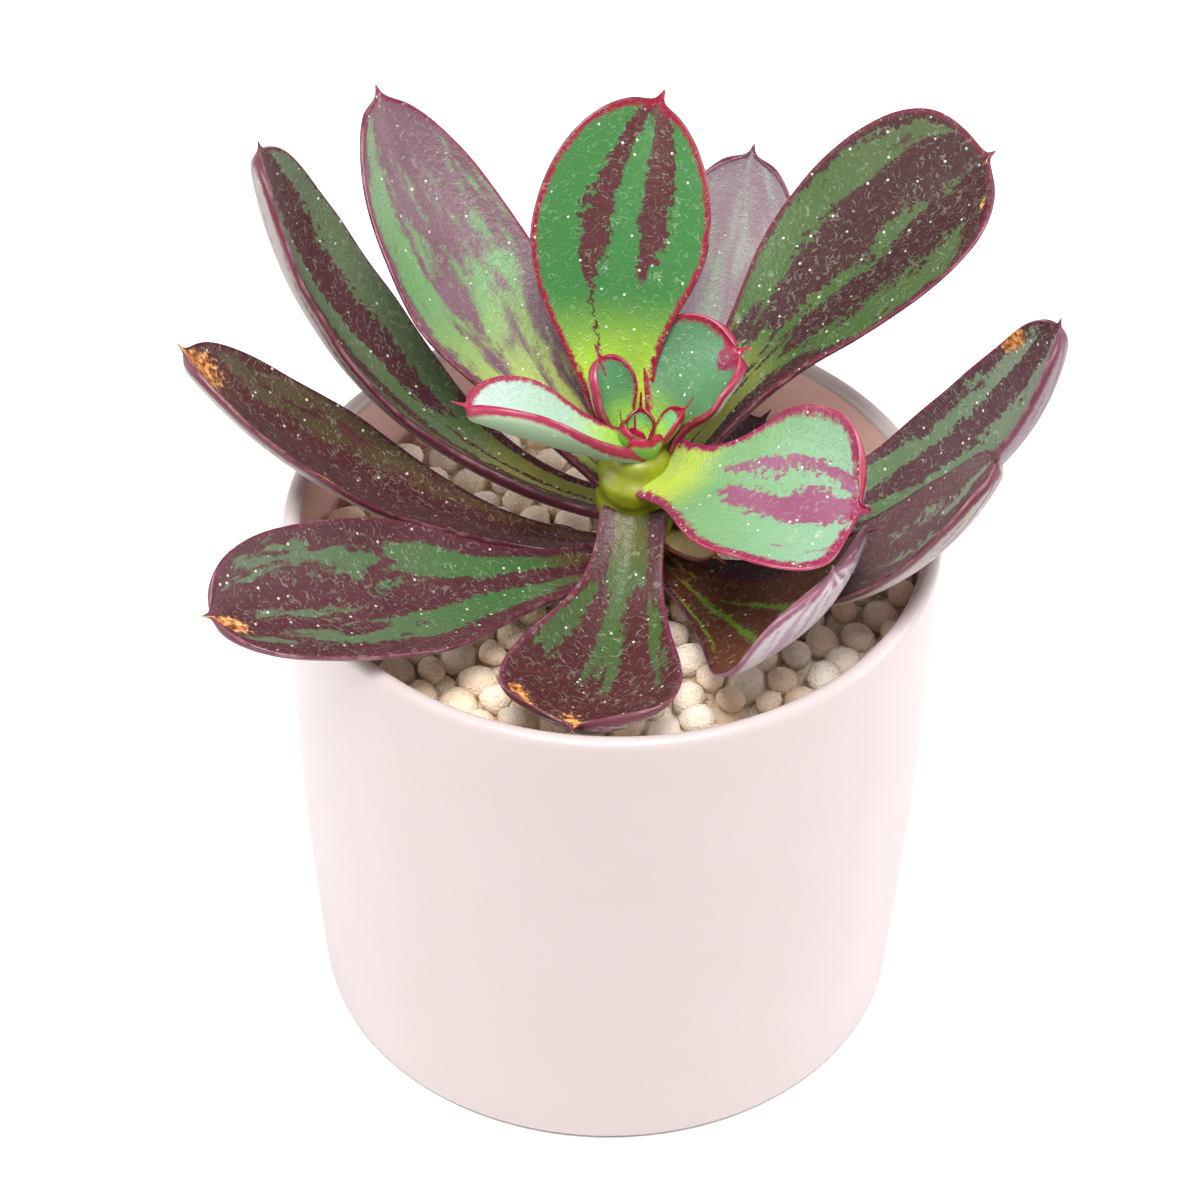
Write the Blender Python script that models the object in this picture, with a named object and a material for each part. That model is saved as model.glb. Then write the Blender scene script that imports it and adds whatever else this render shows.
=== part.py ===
"""Potted succulent: a striped rosette plant on a short thick stem, in a round ceramic pot.

Units are millimetres in the constants and metres in the meshes. +Z is up, +X is to the
right and -Y is towards the person who looks at the front. The origin is the centre of the
pot's flat underside.

The pot stands on its base. The potting soil fills it, the gravel lies on the soil, the stem
passes through the gravel into the soil, and the leaves sit around the stem in a loose
spiral. Touching pieces keep a small gap.
"""
import math
from dataclasses import dataclass

import bmesh
import bpy
from mathutils import Vector

MM = 0.001

# Gaps between pieces that touch in the real plant.
SEAT_GAP = 0.3

# Pot: a slightly bowed tumbler shape with a full round lip.
POT_RIM_RADIUS = 55.0
POT_BASE_RADIUS = 50.0
POT_HEIGHT = 98.0
POT_BOW = 0.67            # how far the wall's taper is moved down towards the base
POT_WALL = 3.1
POT_FLOOR = 5.0
POT_BASE_EDGE = 1.6
POT_INNER_CORNER = 5.0
POT_SIDES = 56
WALL_RINGS = 6
ROUND_STEPS = 4

# Fill: soil up to the gravel, gravel up to a little below the rim.
FILL_BELOW_RIM = 12.0
GRAVEL_DEPTH = 13.0
GRAVEL_CROWN = 1.2

# Stem: enters the soil upright, leans a little towards the front, ends in the crown.
STEM_FOOT_X = 4.6
STEM_FOOT_Y = -1.0
STEM_LEAN_X = -0.4
STEM_LEAN_Y = -2.5
STEM_BURIED = 26.0        # length below the top of the gravel
STEM_RISE = 31.0          # length above the top of the gravel
STEM_FOOT_RADIUS = 5.6
STEM_NECK_RADIUS = 4.6
STEM_CROWN_RADIUS = 5.4
STEM_DOME = 3.2           # height of the rounded top
STEM_SIDES = 20

# Leaves, shared by all of them.
LEAF_MARGIN = 0.7         # thickness at the leaf's edge
LEAF_TIP = 2.0            # length of the small point that ends each leaf
LEAF_TIP_HALF_WIDTH = 0.9
LEAF_STATIONS = (0.0, 0.08, 0.2, 0.34, 0.47, 0.59, 0.7, 0.8, 0.88, 0.94, 0.975)
MIDRIB_STEPS = 60


@dataclass(frozen=True)
class Leaf:
    """One leaf. Sizes are millimetres, angles degrees and shares run from 0 to 1."""

    name: str
    heading: float          # compass direction that it grows in, 0 is +X and 90 is +Y
    height: float           # where it leaves the stem, as a share of STEM_RISE
    length: float
    width: float
    rise: tuple             # climb of the midrib at the base and at the tip
    bend: tuple = (0.0, 0.0)  # sideways lean in the blade's plane at base and tip, + is left
    roll: tuple = (0.0, 0.0)  # turn about the midrib at base and tip, + lifts the left edge
    fold: float = 8.0       # slope of each half at the midrib
    cup: tuple = (25.0, 25.0)  # extra slope gained towards the left and the right edge
    widest: float = 0.64    # where it is widest, as a share of the length
    neck: float = 7.0       # width where it leaves the stem
    thick: float = 3.0      # thickness of the fleshy middle
    blunt: float = 2.2      # 2 is an elliptic end, more is squarer
    wave: float = 0.0       # height of the ripple in the edges


# Plain colours of the leaves: mature, young and old ones.
MATURE_GREEN = (0.16, 0.22, 0.10)
YOUNG_GREEN = (0.36, 0.46, 0.20)
OLD_YELLOW = (0.50, 0.42, 0.16)
YOUNG_LEAVES = ("leaf_right_pale", "leaf_inner_right", "leaf_inner_back", "leaf_inner_left")

# Outer leaves first, then the younger ones in the middle, then the small low ones.
LEAVES = (
    Leaf("leaf_back", 93, 0.758, 60.5, 30, (62, 55), bend=(18, -28), neck=6.5),
    Leaf("leaf_back_left", 130.5, 0.677, 77, 29, (16, 52), widest=0.66, neck=6.5),
    Leaf("leaf_left_upper", 150, 0.484, 92, 24, (-8, 76), roll=(2, 14), fold=10, cup=(50, 20)),
    Leaf("leaf_left_lower", 170, 0.306, 81, 26, (-4, 48), neck=6.5),
    Leaf("leaf_front_left", 208, 0.177, 74, 31, (6, 21), roll=(-8, -16), widest=0.58, neck=6.0,
         blunt=2.8),
    Leaf("leaf_front", 261, 0.689, 47, 31, (-40, 18), widest=0.8, blunt=2.6),
    Leaf("leaf_front_right", -48, 0.329, 51, 36, (-24, 84), roll=(13, 4), fold=4, cup=(12, 12),
         widest=0.74, blunt=2.8),
    Leaf("leaf_right_pale", -38, 0.871, 41, 31, (24, 10), roll=(8, 22), widest=0.58, blunt=2.8,
         wave=1.2),
    Leaf("leaf_back_right", 35, 0.629, 78, 33, (26, 42), bend=(18, -20), cup=(15, 20), blunt=2.6),
    Leaf("leaf_back_pale", 70, 0.387, 68, 26, (2, 78), bend=(0, -8), roll=(8, 14)),
    Leaf("leaf_right_upper", 3, 0.532, 87, 29, (-23, 87), roll=(4, 8), cup=(20, 70)),
    Leaf("leaf_right_lower", -22, 0.145, 71, 24, (-6, 74), roll=(-3, -10), cup=(2, 15)),
    Leaf("leaf_inner_right", 42, 0.903, 21, 19, (58, 20), cup=(50, 50)),
    Leaf("leaf_inner_back", 135, 0.919, 14, 8.5, (75, 60), neck=4.5, cup=(50, 50)),
    Leaf("leaf_inner_left", 232, 0.903, 30, 17, (38, 42), bend=(-25, -46), neck=5.5, fold=15,
         cup=(50, 50)),
    Leaf("leaf_low_right", -5, 0.387, 6.5, 6, (-12, 0), neck=4.0, thick=1.8),
    Leaf("leaf_low_left", 165, 0.084, 16, 9, (2, 12), neck=4.5, thick=1.8),
    Leaf("leaf_low_back", 50, 0.194, 31, 16, (8, 26), neck=5.5),
)


def wall_radius(height):
    """Outer radius of the pot's wall at a height above the table."""
    part = height / POT_HEIGHT
    bowed = part + POT_BOW * part * (1.0 - part)
    return POT_BASE_RADIUS + (POT_RIM_RADIUS - POT_BASE_RADIUS) * bowed


def gravel_top():
    """Height of the gravel's surface above the table."""
    return POT_HEIGHT - FILL_BELOW_RIM


def arc(centre, radius, start, end, steps):
    """Points of an arc in the (radius, height) plane, from one angle in degrees to another."""
    points = []
    for step in range(steps + 1):
        angle = math.radians(start + (end - start) * step / steps)
        points.append((centre[0] + radius * math.cos(angle), centre[1] + radius * math.sin(angle)))
    return points


def turned(name, profile, sides):
    """A solid turned about +Z from a profile that starts and ends on the axis."""
    mesh = bmesh.new()
    foot = mesh.verts.new((0.0, 0.0, profile[0][1] * MM))
    head = mesh.verts.new((0.0, 0.0, profile[-1][1] * MM))
    rings = []
    for radius, height in profile[1:-1]:
        ring = []
        for side in range(sides):
            angle = 2.0 * math.pi * side / sides
            ring.append(mesh.verts.new(
                (radius * MM * math.cos(angle), radius * MM * math.sin(angle), height * MM)))
        rings.append(ring)
    for side in range(sides):
        after = (side + 1) % sides
        mesh.faces.new((foot, rings[0][after], rings[0][side]))
        mesh.faces.new((head, rings[-1][side], rings[-1][after]))
        for low, high in zip(rings, rings[1:]):
            mesh.faces.new((low[side], low[after], high[after], high[side]))
    return finished(name, mesh)


def finished(name, mesh):
    """Turn a bmesh into a smooth-shaded object in the scene."""
    bmesh.ops.recalc_face_normals(mesh, faces=mesh.faces)
    data = bpy.data.meshes.new(name)
    mesh.to_mesh(data)
    mesh.free()
    data.shade_smooth()
    data.set_sharp_from_angle(angle=math.radians(40.0))
    item = bpy.data.objects.new(name, data)
    bpy.context.scene.collection.objects.link(item)
    return item


def paint(item, colour, roughness):
    """Give an object its own plain material."""
    material = bpy.data.materials.new(item.name)
    material.use_nodes = True
    shader = material.node_tree.nodes["Principled BSDF"]
    shader.inputs["Base Color"].default_value = (*colour, 1.0)
    shader.inputs["Roughness"].default_value = roughness
    shader.inputs["Metallic"].default_value = 0.0
    item.data.materials.append(material)


def make_pot():
    """The pot: flat base, bowed wall, full round lip, hollow inside."""
    lip = POT_WALL / 2.0
    profile = [(0.0, 0.0)]
    corner = (wall_radius(POT_BASE_EDGE) - POT_BASE_EDGE, POT_BASE_EDGE)
    profile += arc(corner, POT_BASE_EDGE, -90.0, 0.0, ROUND_STEPS)
    top_of_wall = POT_HEIGHT - lip
    for ring in range(1, WALL_RINGS):
        height = POT_BASE_EDGE + (top_of_wall - POT_BASE_EDGE) * ring / WALL_RINGS
        profile.append((wall_radius(height), height))
    profile += arc((wall_radius(top_of_wall) - lip, top_of_wall), lip, 0.0, 180.0, 2 * ROUND_STEPS)
    low = POT_FLOOR + POT_INNER_CORNER
    for ring in range(WALL_RINGS - 1, 0, -1):
        height = low + (top_of_wall - low) * ring / WALL_RINGS
        profile.append((wall_radius(height) - POT_WALL, height))
    bend = (wall_radius(low) - POT_WALL - POT_INNER_CORNER, low)
    profile += arc(bend, POT_INNER_CORNER, 0.0, -90.0, ROUND_STEPS)
    profile.append((0.0, POT_FLOOR))
    pot = turned("pot", profile, POT_SIDES)
    paint(pot, (0.78, 0.70, 0.68), 0.45)


def fill_radius(height):
    """Radius of the soil or gravel where it meets the pot's inner wall."""
    return wall_radius(height) - POT_WALL - SEAT_GAP


def make_fill():
    """The soil and the gravel on it, each with a hole that the stem passes through."""
    floor = POT_FLOOR + SEAT_GAP
    soil_top = gravel_top() - GRAVEL_DEPTH
    low = POT_FLOOR + POT_INNER_CORNER
    bend = (fill_radius(low) - POT_INNER_CORNER + SEAT_GAP, low)
    soil_corner = arc(bend, POT_INNER_CORNER - SEAT_GAP, -90.0, 0.0, ROUND_STEPS)
    profile = [(0.0, floor)] + soil_corner
    middle = (low + soil_top) / 2.0
    profile += [(fill_radius(middle), middle), (fill_radius(soil_top), soil_top), (0.0, soil_top)]
    soil = turned("potting_soil", profile, POT_SIDES)
    gravel_foot = soil_top + SEAT_GAP
    edge = gravel_top() - GRAVEL_CROWN
    rim = fill_radius(edge)
    profile = [(0.0, gravel_foot), (fill_radius(gravel_foot), gravel_foot), (rim, edge)]
    for share in (0.85, 0.6, 0.3):
        profile.append((rim * share, edge + GRAVEL_CROWN * (1.0 - share ** 2)))
    profile.append((0.0, gravel_top()))
    gravel = turned("gravel", profile, POT_SIDES)
    hole = stem_hole()
    for item in (soil, gravel):
        cut = item.modifiers.new("stem hole", "BOOLEAN")
        cut.operation = "DIFFERENCE"
        cut.object = hole
    paint(soil, (0.07, 0.045, 0.03), 0.95)
    paint(gravel, (0.62, 0.52, 0.40), 0.85)


def stem_hole():
    """A hidden cutter, a little wider than the buried part of the stem."""
    bottom = gravel_top() - STEM_BURIED - SEAT_GAP
    top = gravel_top() + STEM_RISE
    radius = STEM_FOOT_RADIUS + SEAT_GAP
    profile = [(0.0, bottom), (radius, bottom), (radius, top), (0.0, top)]
    hole = turned("stem_hole", profile, STEM_SIDES)
    hole.location = (STEM_FOOT_X * MM, STEM_FOOT_Y * MM, 0.0)
    hole.hide_render = True
    hole.display_type = "WIRE"
    return hole


def stem_centre(above):
    """Centre of the stem at a height above the gravel; the buried part is upright."""
    lean = max(above, 0.0) / STEM_RISE
    return Vector((STEM_FOOT_X + STEM_LEAN_X * lean, STEM_FOOT_Y + STEM_LEAN_Y * lean,
                   gravel_top() + above))


def stem_radius(above):
    """Radius of the stem: thick at the gravel, slimmer, thicker at the crown, then a dome."""
    if above <= 0.0:
        return STEM_FOOT_RADIUS
    part = min(above, STEM_RISE - STEM_DOME) / STEM_RISE
    narrow = STEM_FOOT_RADIUS + (STEM_NECK_RADIUS - STEM_FOOT_RADIUS) * min(1.0, 3.0 * part)
    swell = (STEM_CROWN_RADIUS - STEM_NECK_RADIUS) * max(0.0, part - 0.4) / 0.6
    into_dome = max(0.0, above - STEM_RISE + STEM_DOME) / STEM_DOME
    return (narrow + swell) * math.sqrt(max(0.0, 1.0 - into_dome ** 2))


def make_stem():
    """The stem: a turned rod that leans above the gravel and ends in a low dome."""
    mesh = bmesh.new()
    levels = [-STEM_BURIED, -4.0] + [(STEM_RISE - STEM_DOME) * step / 7.0 for step in range(8)]
    levels += [STEM_RISE - STEM_DOME * (1.0 - share) for share in (0.5, 0.8, 0.95)]
    rings = [(stem_centre(above), stem_radius(above)) for above in levels]
    loops = []
    for centre, radius in rings:
        loop = []
        for side in range(STEM_SIDES):
            angle = 2.0 * math.pi * side / STEM_SIDES
            spot = centre + Vector((math.cos(angle), math.sin(angle), 0.0)) * radius
            loop.append(mesh.verts.new(spot * MM))
        loops.append(loop)
    head = mesh.verts.new(stem_centre(STEM_RISE) * MM)
    for low, high in zip(loops, loops[1:]):
        for side in range(STEM_SIDES):
            after = (side + 1) % STEM_SIDES
            mesh.faces.new((low[side], low[after], high[after], high[side]))
    mesh.faces.new(list(reversed(loops[0])))
    for side in range(STEM_SIDES):
        mesh.faces.new((head, loops[-1][side], loops[-1][(side + 1) % STEM_SIDES]))
    paint(finished("stem", mesh), (0.42, 0.50, 0.16), 0.5)


def directions(leaf, part):
    """Forward, left and up directions of the leaf at a share of its length."""
    climb = math.radians(leaf.rise[0] + (leaf.rise[1] - leaf.rise[0]) * part)
    lean = math.radians(leaf.bend[0] + (leaf.bend[1] - leaf.bend[0]) * part)
    roll = math.radians(leaf.roll[0] + (leaf.roll[1] - leaf.roll[0]) * part)
    outward, side = compass(leaf)
    ahead = outward * math.cos(climb) + Vector((0.0, 0.0, math.sin(climb)))
    top = ahead.cross(side)
    forward = ahead * math.cos(lean) + side * math.sin(lean)
    flat_left = side * math.cos(lean) - ahead * math.sin(lean)
    left = flat_left * math.cos(roll) + top * math.sin(roll)
    return forward, left, forward.cross(left)


def compass(leaf):
    """Level directions that point away from the stem and to the leaf's left."""
    heading = math.radians(leaf.heading)
    outward = Vector((math.cos(heading), math.sin(heading), 0.0))
    return outward, Vector((-math.sin(heading), math.cos(heading), 0.0))


def leaf_base(leaf):
    """Where a leaf's midrib starts: its end face stands just clear of the stem's side."""
    outward, side = compass(leaf)
    start = stem_centre(leaf.height * STEM_RISE)
    reach = 0.0
    for point in leaf_ring(leaf, 0.0, (start, *directions(leaf, 0.0))):
        above = point.z - gravel_top()
        away = point - stem_centre(above)
        clear = stem_radius(above) + SEAT_GAP
        across = away.dot(side)
        if abs(across) < clear:
            reach = max(reach, math.sqrt(clear ** 2 - across ** 2) - away.dot(outward))
    return start + outward * reach


def midrib(leaf):
    """Points along the midrib, each with its forward, left and up directions."""
    spot = leaf_base(leaf)
    frames = []
    for step in range(MIDRIB_STEPS + 1):
        forward, left, top = directions(leaf, step / MIDRIB_STEPS)
        frames.append((spot, forward, left, top))
        spot = spot + forward * (leaf.length / MIDRIB_STEPS)
    return frames


def half_width(leaf, part):
    """Half the leaf's width at a share of its length, with the small point at the end."""
    blade_end = 1.0 - LEAF_TIP / leaf.length
    along = part / blade_end
    if along < leaf.widest:
        growth = math.sin(math.pi / 2.0 * (along / leaf.widest) ** 1.4) ** 2
        half = leaf.neck + (leaf.width - leaf.neck) * growth
    else:
        past = min(1.0, (along - leaf.widest) / (1.0 - leaf.widest))
        half = leaf.width * (1.0 - past ** leaf.blunt) ** (1.0 / leaf.blunt)
    point = LEAF_TIP_HALF_WIDTH * min(1.0, (1.0 - part) * leaf.length / LEAF_TIP)
    return max(half / 2.0, point)


def section(leaf, part, across):
    """Place of a point of the upper face: sideways (+ is left), up, and the face's slope."""
    size = half_width(leaf, part)
    reach = abs(across)
    cup = math.radians(leaf.cup[0] if across > 0.0 else leaf.cup[1]) * min(1.0, 0.35 + part)
    start = math.radians(leaf.fold)
    end = start + cup * reach
    out = (math.sin(end) - math.sin(start)) / cup * size
    lift = (math.cos(start) - math.cos(end)) / cup * size
    ripple = leaf.wave * across ** 2 * math.sin(7.0 * part + 2.0 * across)
    return math.copysign(out, across), lift + ripple, math.copysign(end, across)


def leaf_ring(leaf, part, frame):
    """The closed loop of points around the leaf at one station."""
    spot, _, left, top = frame
    body = leaf.thick * (1.0 - 0.35 * part)
    shrink = min(1.0, half_width(leaf, part) / 4.0)
    points = []
    for across in (1.0, 0.55, 0.0, -0.55, -1.0):
        out, lift, _ = section(leaf, part, across)
        points.append(spot + left * out + top * lift)
    for across in (-0.97, -0.55, 0.0, 0.55, 0.97):
        out, lift, slope = section(leaf, part, across)
        depth = (LEAF_MARGIN + (body - LEAF_MARGIN) * math.sqrt(1.0 - across ** 2)) * shrink
        inward = left * -math.sin(slope) + top * math.cos(slope)
        points.append(spot + left * out + top * lift - inward * depth)
    return points


def leaf_colour(leaf):
    """Plain colour of a leaf, by its age."""
    if leaf.name in YOUNG_LEAVES:
        return YOUNG_GREEN
    return OLD_YELLOW if leaf.name.startswith("leaf_low") else MATURE_GREEN


def make_leaf(leaf):
    """One fleshy leaf: closed loops along the midrib, and a small point at the end."""
    mesh = bmesh.new()
    frames = midrib(leaf)
    loops = []
    for part in LEAF_STATIONS:
        frame = frames[round(part * MIDRIB_STEPS)]
        loops.append([mesh.verts.new(point * MM) for point in leaf_ring(leaf, part, frame)])
    tip = mesh.verts.new(frames[-1][0] * MM)
    count = len(loops[0])
    for near, far in zip(loops, loops[1:]):
        for step in range(count):
            after = (step + 1) % count
            mesh.faces.new((near[step], near[after], far[after], far[step]))
    mesh.faces.new(loops[0])
    for step in range(count):
        mesh.faces.new((tip, loops[-1][step], loops[-1][(step + 1) % count]))
    paint(finished(leaf.name, mesh), leaf_colour(leaf), 0.4)


def main():
    """Clear the scene and build the potted plant."""
    for item in list(bpy.data.objects):
        bpy.data.objects.remove(item)
    make_pot()
    make_fill()
    make_stem()
    for leaf in LEAVES:
        make_leaf(leaf)


if __name__ == "__main__":
    main()
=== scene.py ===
"""Looks of a potted succulent: a striped rosette on a short stem in a glazed pot.

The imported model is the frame. Each class below is one sub-assembly: it holds its sizes, in
millimetres, and has methods that model its meshes in the frame and dress them.
"""

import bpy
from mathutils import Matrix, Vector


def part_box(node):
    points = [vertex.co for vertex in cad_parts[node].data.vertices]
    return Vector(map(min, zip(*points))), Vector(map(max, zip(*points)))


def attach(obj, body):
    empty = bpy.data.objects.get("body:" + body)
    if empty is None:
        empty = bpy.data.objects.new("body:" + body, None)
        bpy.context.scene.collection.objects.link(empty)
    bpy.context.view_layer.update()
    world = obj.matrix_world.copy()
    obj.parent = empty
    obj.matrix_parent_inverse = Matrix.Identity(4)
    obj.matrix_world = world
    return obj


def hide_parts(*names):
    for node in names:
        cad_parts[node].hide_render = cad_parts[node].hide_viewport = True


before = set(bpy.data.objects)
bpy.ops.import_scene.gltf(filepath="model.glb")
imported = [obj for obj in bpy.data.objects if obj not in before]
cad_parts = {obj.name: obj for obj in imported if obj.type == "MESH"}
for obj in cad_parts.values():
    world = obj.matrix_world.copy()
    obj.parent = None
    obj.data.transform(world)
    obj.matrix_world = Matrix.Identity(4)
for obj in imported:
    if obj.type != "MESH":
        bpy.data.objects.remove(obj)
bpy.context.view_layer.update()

import logging
import math
import random
from dataclasses import dataclass, field
from enum import Enum
from typing import Callable, Iterable

import bmesh
import bpy
from mathutils import Matrix, Vector, noise

MM = 0.001
PER_MM = 1.0 / MM
BODY = "root"
CAMERA_AIM = Vector((-0.0019, 0.0, 0.0798))
LOG = logging.getLogger("potted_succulent")

Node = bpy.types.Node
Piece = bpy.types.Object
Material = bpy.types.Material
Bands = tuple[tuple[float, float], ...]

RGBA = {"data_type": "RGBA"}
ADD = {"operation": "ADD"}
TIMES = {"operation": "MULTIPLY"}
TIMES_ADD = {"operation": "MULTIPLY_ADD"}
SMOOTH = {"interpolation_type": "SMOOTHSTEP"}


class Slot(Enum):
    """Material slots, one for each kind of piece."""

    POT = "pot"
    SOIL = "soil"
    GRAVEL = "gravel"
    STEM = "stem"
    LEAF = "leaf"
    YOUNG_LEAF = "young_leaf"
    OLD_LEAF = "old_leaf"


# ---------------------------------------------------------------- shared helpers


def linear(colour: str) -> tuple[float, float, float, float]:
    """Turns an sRGB hex colour into linear RGBA.

    Args:
        colour: Six hex digits with a leading #.

    Returns:
        Red, green, blue and an alpha of 1.
    """
    parts = [int(colour[start:start + 2], 16) / 255.0 for start in (1, 3, 5)]
    red, green, blue = (
        part / 12.92 if part <= 0.04045 else ((part + 0.055) / 1.055) ** 2.4 for part in parts
    )
    return red, green, blue, 1.0


def add_node(
    tree: bpy.types.NodeTree,
    kind: str,
    inputs: dict | None = None,
    settings: dict | None = None,
) -> Node:
    """Adds a shader node with its settings, values and links.

    Args:
        tree: Node tree of the material.
        kind: Node type without its ShaderNode prefix.
        inputs: What each input takes, as in feed.
        settings: Properties of the node itself.

    Returns:
        The new node.
    """
    node = tree.nodes.new("ShaderNode" + kind)
    for name, value in (settings or {}).items():
        setattr(node, name, value)
    feed(tree, node, inputs or {})
    return node


def feed(tree: bpy.types.NodeTree, node: Node, inputs: dict) -> None:
    """Sets or links the inputs of a node.

    Args:
        tree: Node tree of the material.
        node: Node that takes the inputs.
        inputs: For each input's name or index a value, an output socket, or a node, which
            stands for its first output that is in use.
    """
    for name, value in inputs.items():
        if isinstance(value, Node):
            value = next(output for output in value.outputs if output.enabled)
        if isinstance(value, bpy.types.NodeSocket):
            tree.links.new(value, node.inputs[name])
        else:
            node.inputs[name].default_value = value


def set_ramp(ramp: Node, stops: Iterable[tuple[float, tuple]], smooth: bool = False) -> None:
    """Gives a colour ramp its stops.

    Args:
        ramp: Colour ramp node.
        stops: Position and RGBA of each stop, in order.
        smooth: Whether the colours ease from stop to stop.
    """
    ramp.color_ramp.interpolation = "EASE" if smooth else "LINEAR"
    elements = ramp.color_ramp.elements
    stops = list(stops)
    while len(elements) > 1:
        elements.remove(elements[-1])
    elements[0].position, elements[0].color = stops[0]
    for position, colour in stops[1:]:
        elements.new(position).color = colour


def new_material(name: str) -> tuple[Material, bpy.types.NodeTree, Node]:
    """Makes an empty material and returns it with its tree and its shader."""
    material = bpy.data.materials.new(name)
    material.use_nodes = True
    return material, material.node_tree, material.node_tree.nodes["Principled BSDF"]


def deselect_all() -> None:
    """Leaves nothing selected, so that an operator acts on the next new mesh only."""
    if bpy.context.object and bpy.context.object.mode != "OBJECT":
        bpy.ops.object.mode_set(mode="OBJECT")
    bpy.ops.object.select_all(action="DESELECT")


def named(name: str) -> Piece:
    """Names the active object and its mesh, and returns it."""
    piece = bpy.context.object
    piece.name = piece.data.name = name
    return piece


def pick_edges(piece: Piece, wanted: Callable[[Vector, Vector], bool]) -> None:
    """Selects, in edit mode, the edges whose two end points pass a test.

    Args:
        piece: Mesh that is in edit mode.
        wanted: Takes the two end points and says whether the edge is selected.
    """
    bpy.ops.mesh.select_mode(type="EDGE")
    bpy.ops.mesh.select_all(action="DESELECT")
    mesh = bmesh.from_edit_mesh(piece.data)
    for edge in mesh.edges:
        if wanted(edge.verts[0].co, edge.verts[1].co):
            edge.select_set(True)
    mesh.select_flush_mode()
    bmesh.update_edit_mesh(piece.data)


def pick_faces(piece: Piece, wanted: Callable[[Vector, Vector], bool]) -> None:
    """Selects, in edit mode, the faces whose centre and normal pass a test."""
    bpy.ops.mesh.select_mode(type="FACE")
    bpy.ops.mesh.select_all(action="DESELECT")
    mesh = bmesh.from_edit_mesh(piece.data)
    for face in mesh.faces:
        if wanted(face.calc_center_median(), face.normal):
            face.select_set(True)
    bmesh.update_edit_mesh(piece.data)


def apply_modifier(piece: Piece, kind: str, settings: dict) -> None:
    """Adds a modifier with its settings and applies it to the active piece."""
    modifier = piece.modifiers.new(kind.title(), kind)
    for name, value in settings.items():
        setattr(modifier, name, value)
    bpy.ops.object.modifier_apply(modifier=modifier.name)


def hand_over(piece: Piece, slot: Slot, *nodes: str) -> None:
    """Puts a finished piece on the body, hides the CAD nodes it stands for and logs its face
    count.
    """
    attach(piece, BODY)
    if nodes:
        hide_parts(*nodes)
    LOG.info("%s: %d faces", piece.name, len(piece.data.polygons))


# ---------------------------------------------------------------- finishes


@dataclass(frozen=True)
class StonewareGlaze:
    """Satin glaze on stoneware: dipped and fired, so iron specks show through the film."""

    name: str
    colour: str
    shade: str
    speck: str
    roughness: float = 0.36
    speck_mm: float = 0.7
    cloud_mm: float = 22.0

    def make(self) -> Material:
        """Builds the material: faint clouds, fine specks and a slight orange-peel surface."""
        material, tree, shader = new_material(self.name)
        place = add_node(tree, "TexCoord").outputs["Object"]
        cloud = add_node(tree, "TexNoise", {
            "Vector": place, "Scale": PER_MM / self.cloud_mm, "Detail": 3.0})
        body = add_node(tree, "Mix", {
            0: cloud, 6: linear(self.colour), 7: linear(self.shade)}, RGBA)
        grain = add_node(tree, "TexNoise", {
            "Vector": place, "Scale": PER_MM / self.speck_mm, "Detail": 2.0})
        specks = add_node(tree, "MapRange", {
            "Value": grain, "From Min": 0.55, "From Max": 0.75, "To Max": 0.22})
        colour = add_node(tree, "Mix", {0: specks, 6: body, 7: linear(self.speck)}, RGBA)
        peel = add_node(tree, "Bump", {"Strength": 0.15, "Distance": 0.15 * MM, "Height": grain})
        feed(tree, shader, {
            "Base Color": colour, "Normal": peel, "Roughness": self.roughness, "IOR": 1.5})
        return material


@dataclass(frozen=True)
class PeatMix:
    """Potting soil: damp peat with fibres, dark, matte and crumbly."""

    name: str = "peat_potting_soil"
    crumb_mm: float = 2.5

    def make(self) -> Material:
        """Builds the material from crumbs of two browns."""
        material, tree, shader = new_material(self.name)
        place = add_node(tree, "TexCoord").outputs["Object"]
        crumbs = add_node(tree, "TexNoise", {
            "Vector": place, "Scale": PER_MM / self.crumb_mm, "Detail": 6.0, "Roughness": 0.7})
        ramp = add_node(tree, "ValToRGB", {0: crumbs})
        set_ramp(ramp, ((0.35, linear("#1c130d")), (0.6, linear("#3b2a1e")),
                        (0.75, linear("#6a4f3a"))))
        bump = add_node(tree, "Bump", {"Strength": 0.9, "Distance": 1.2 * MM, "Height": crumbs})
        feed(tree, shader, {"Base Color": ramp, "Normal": bump, "Roughness": 0.95})
        return material


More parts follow.
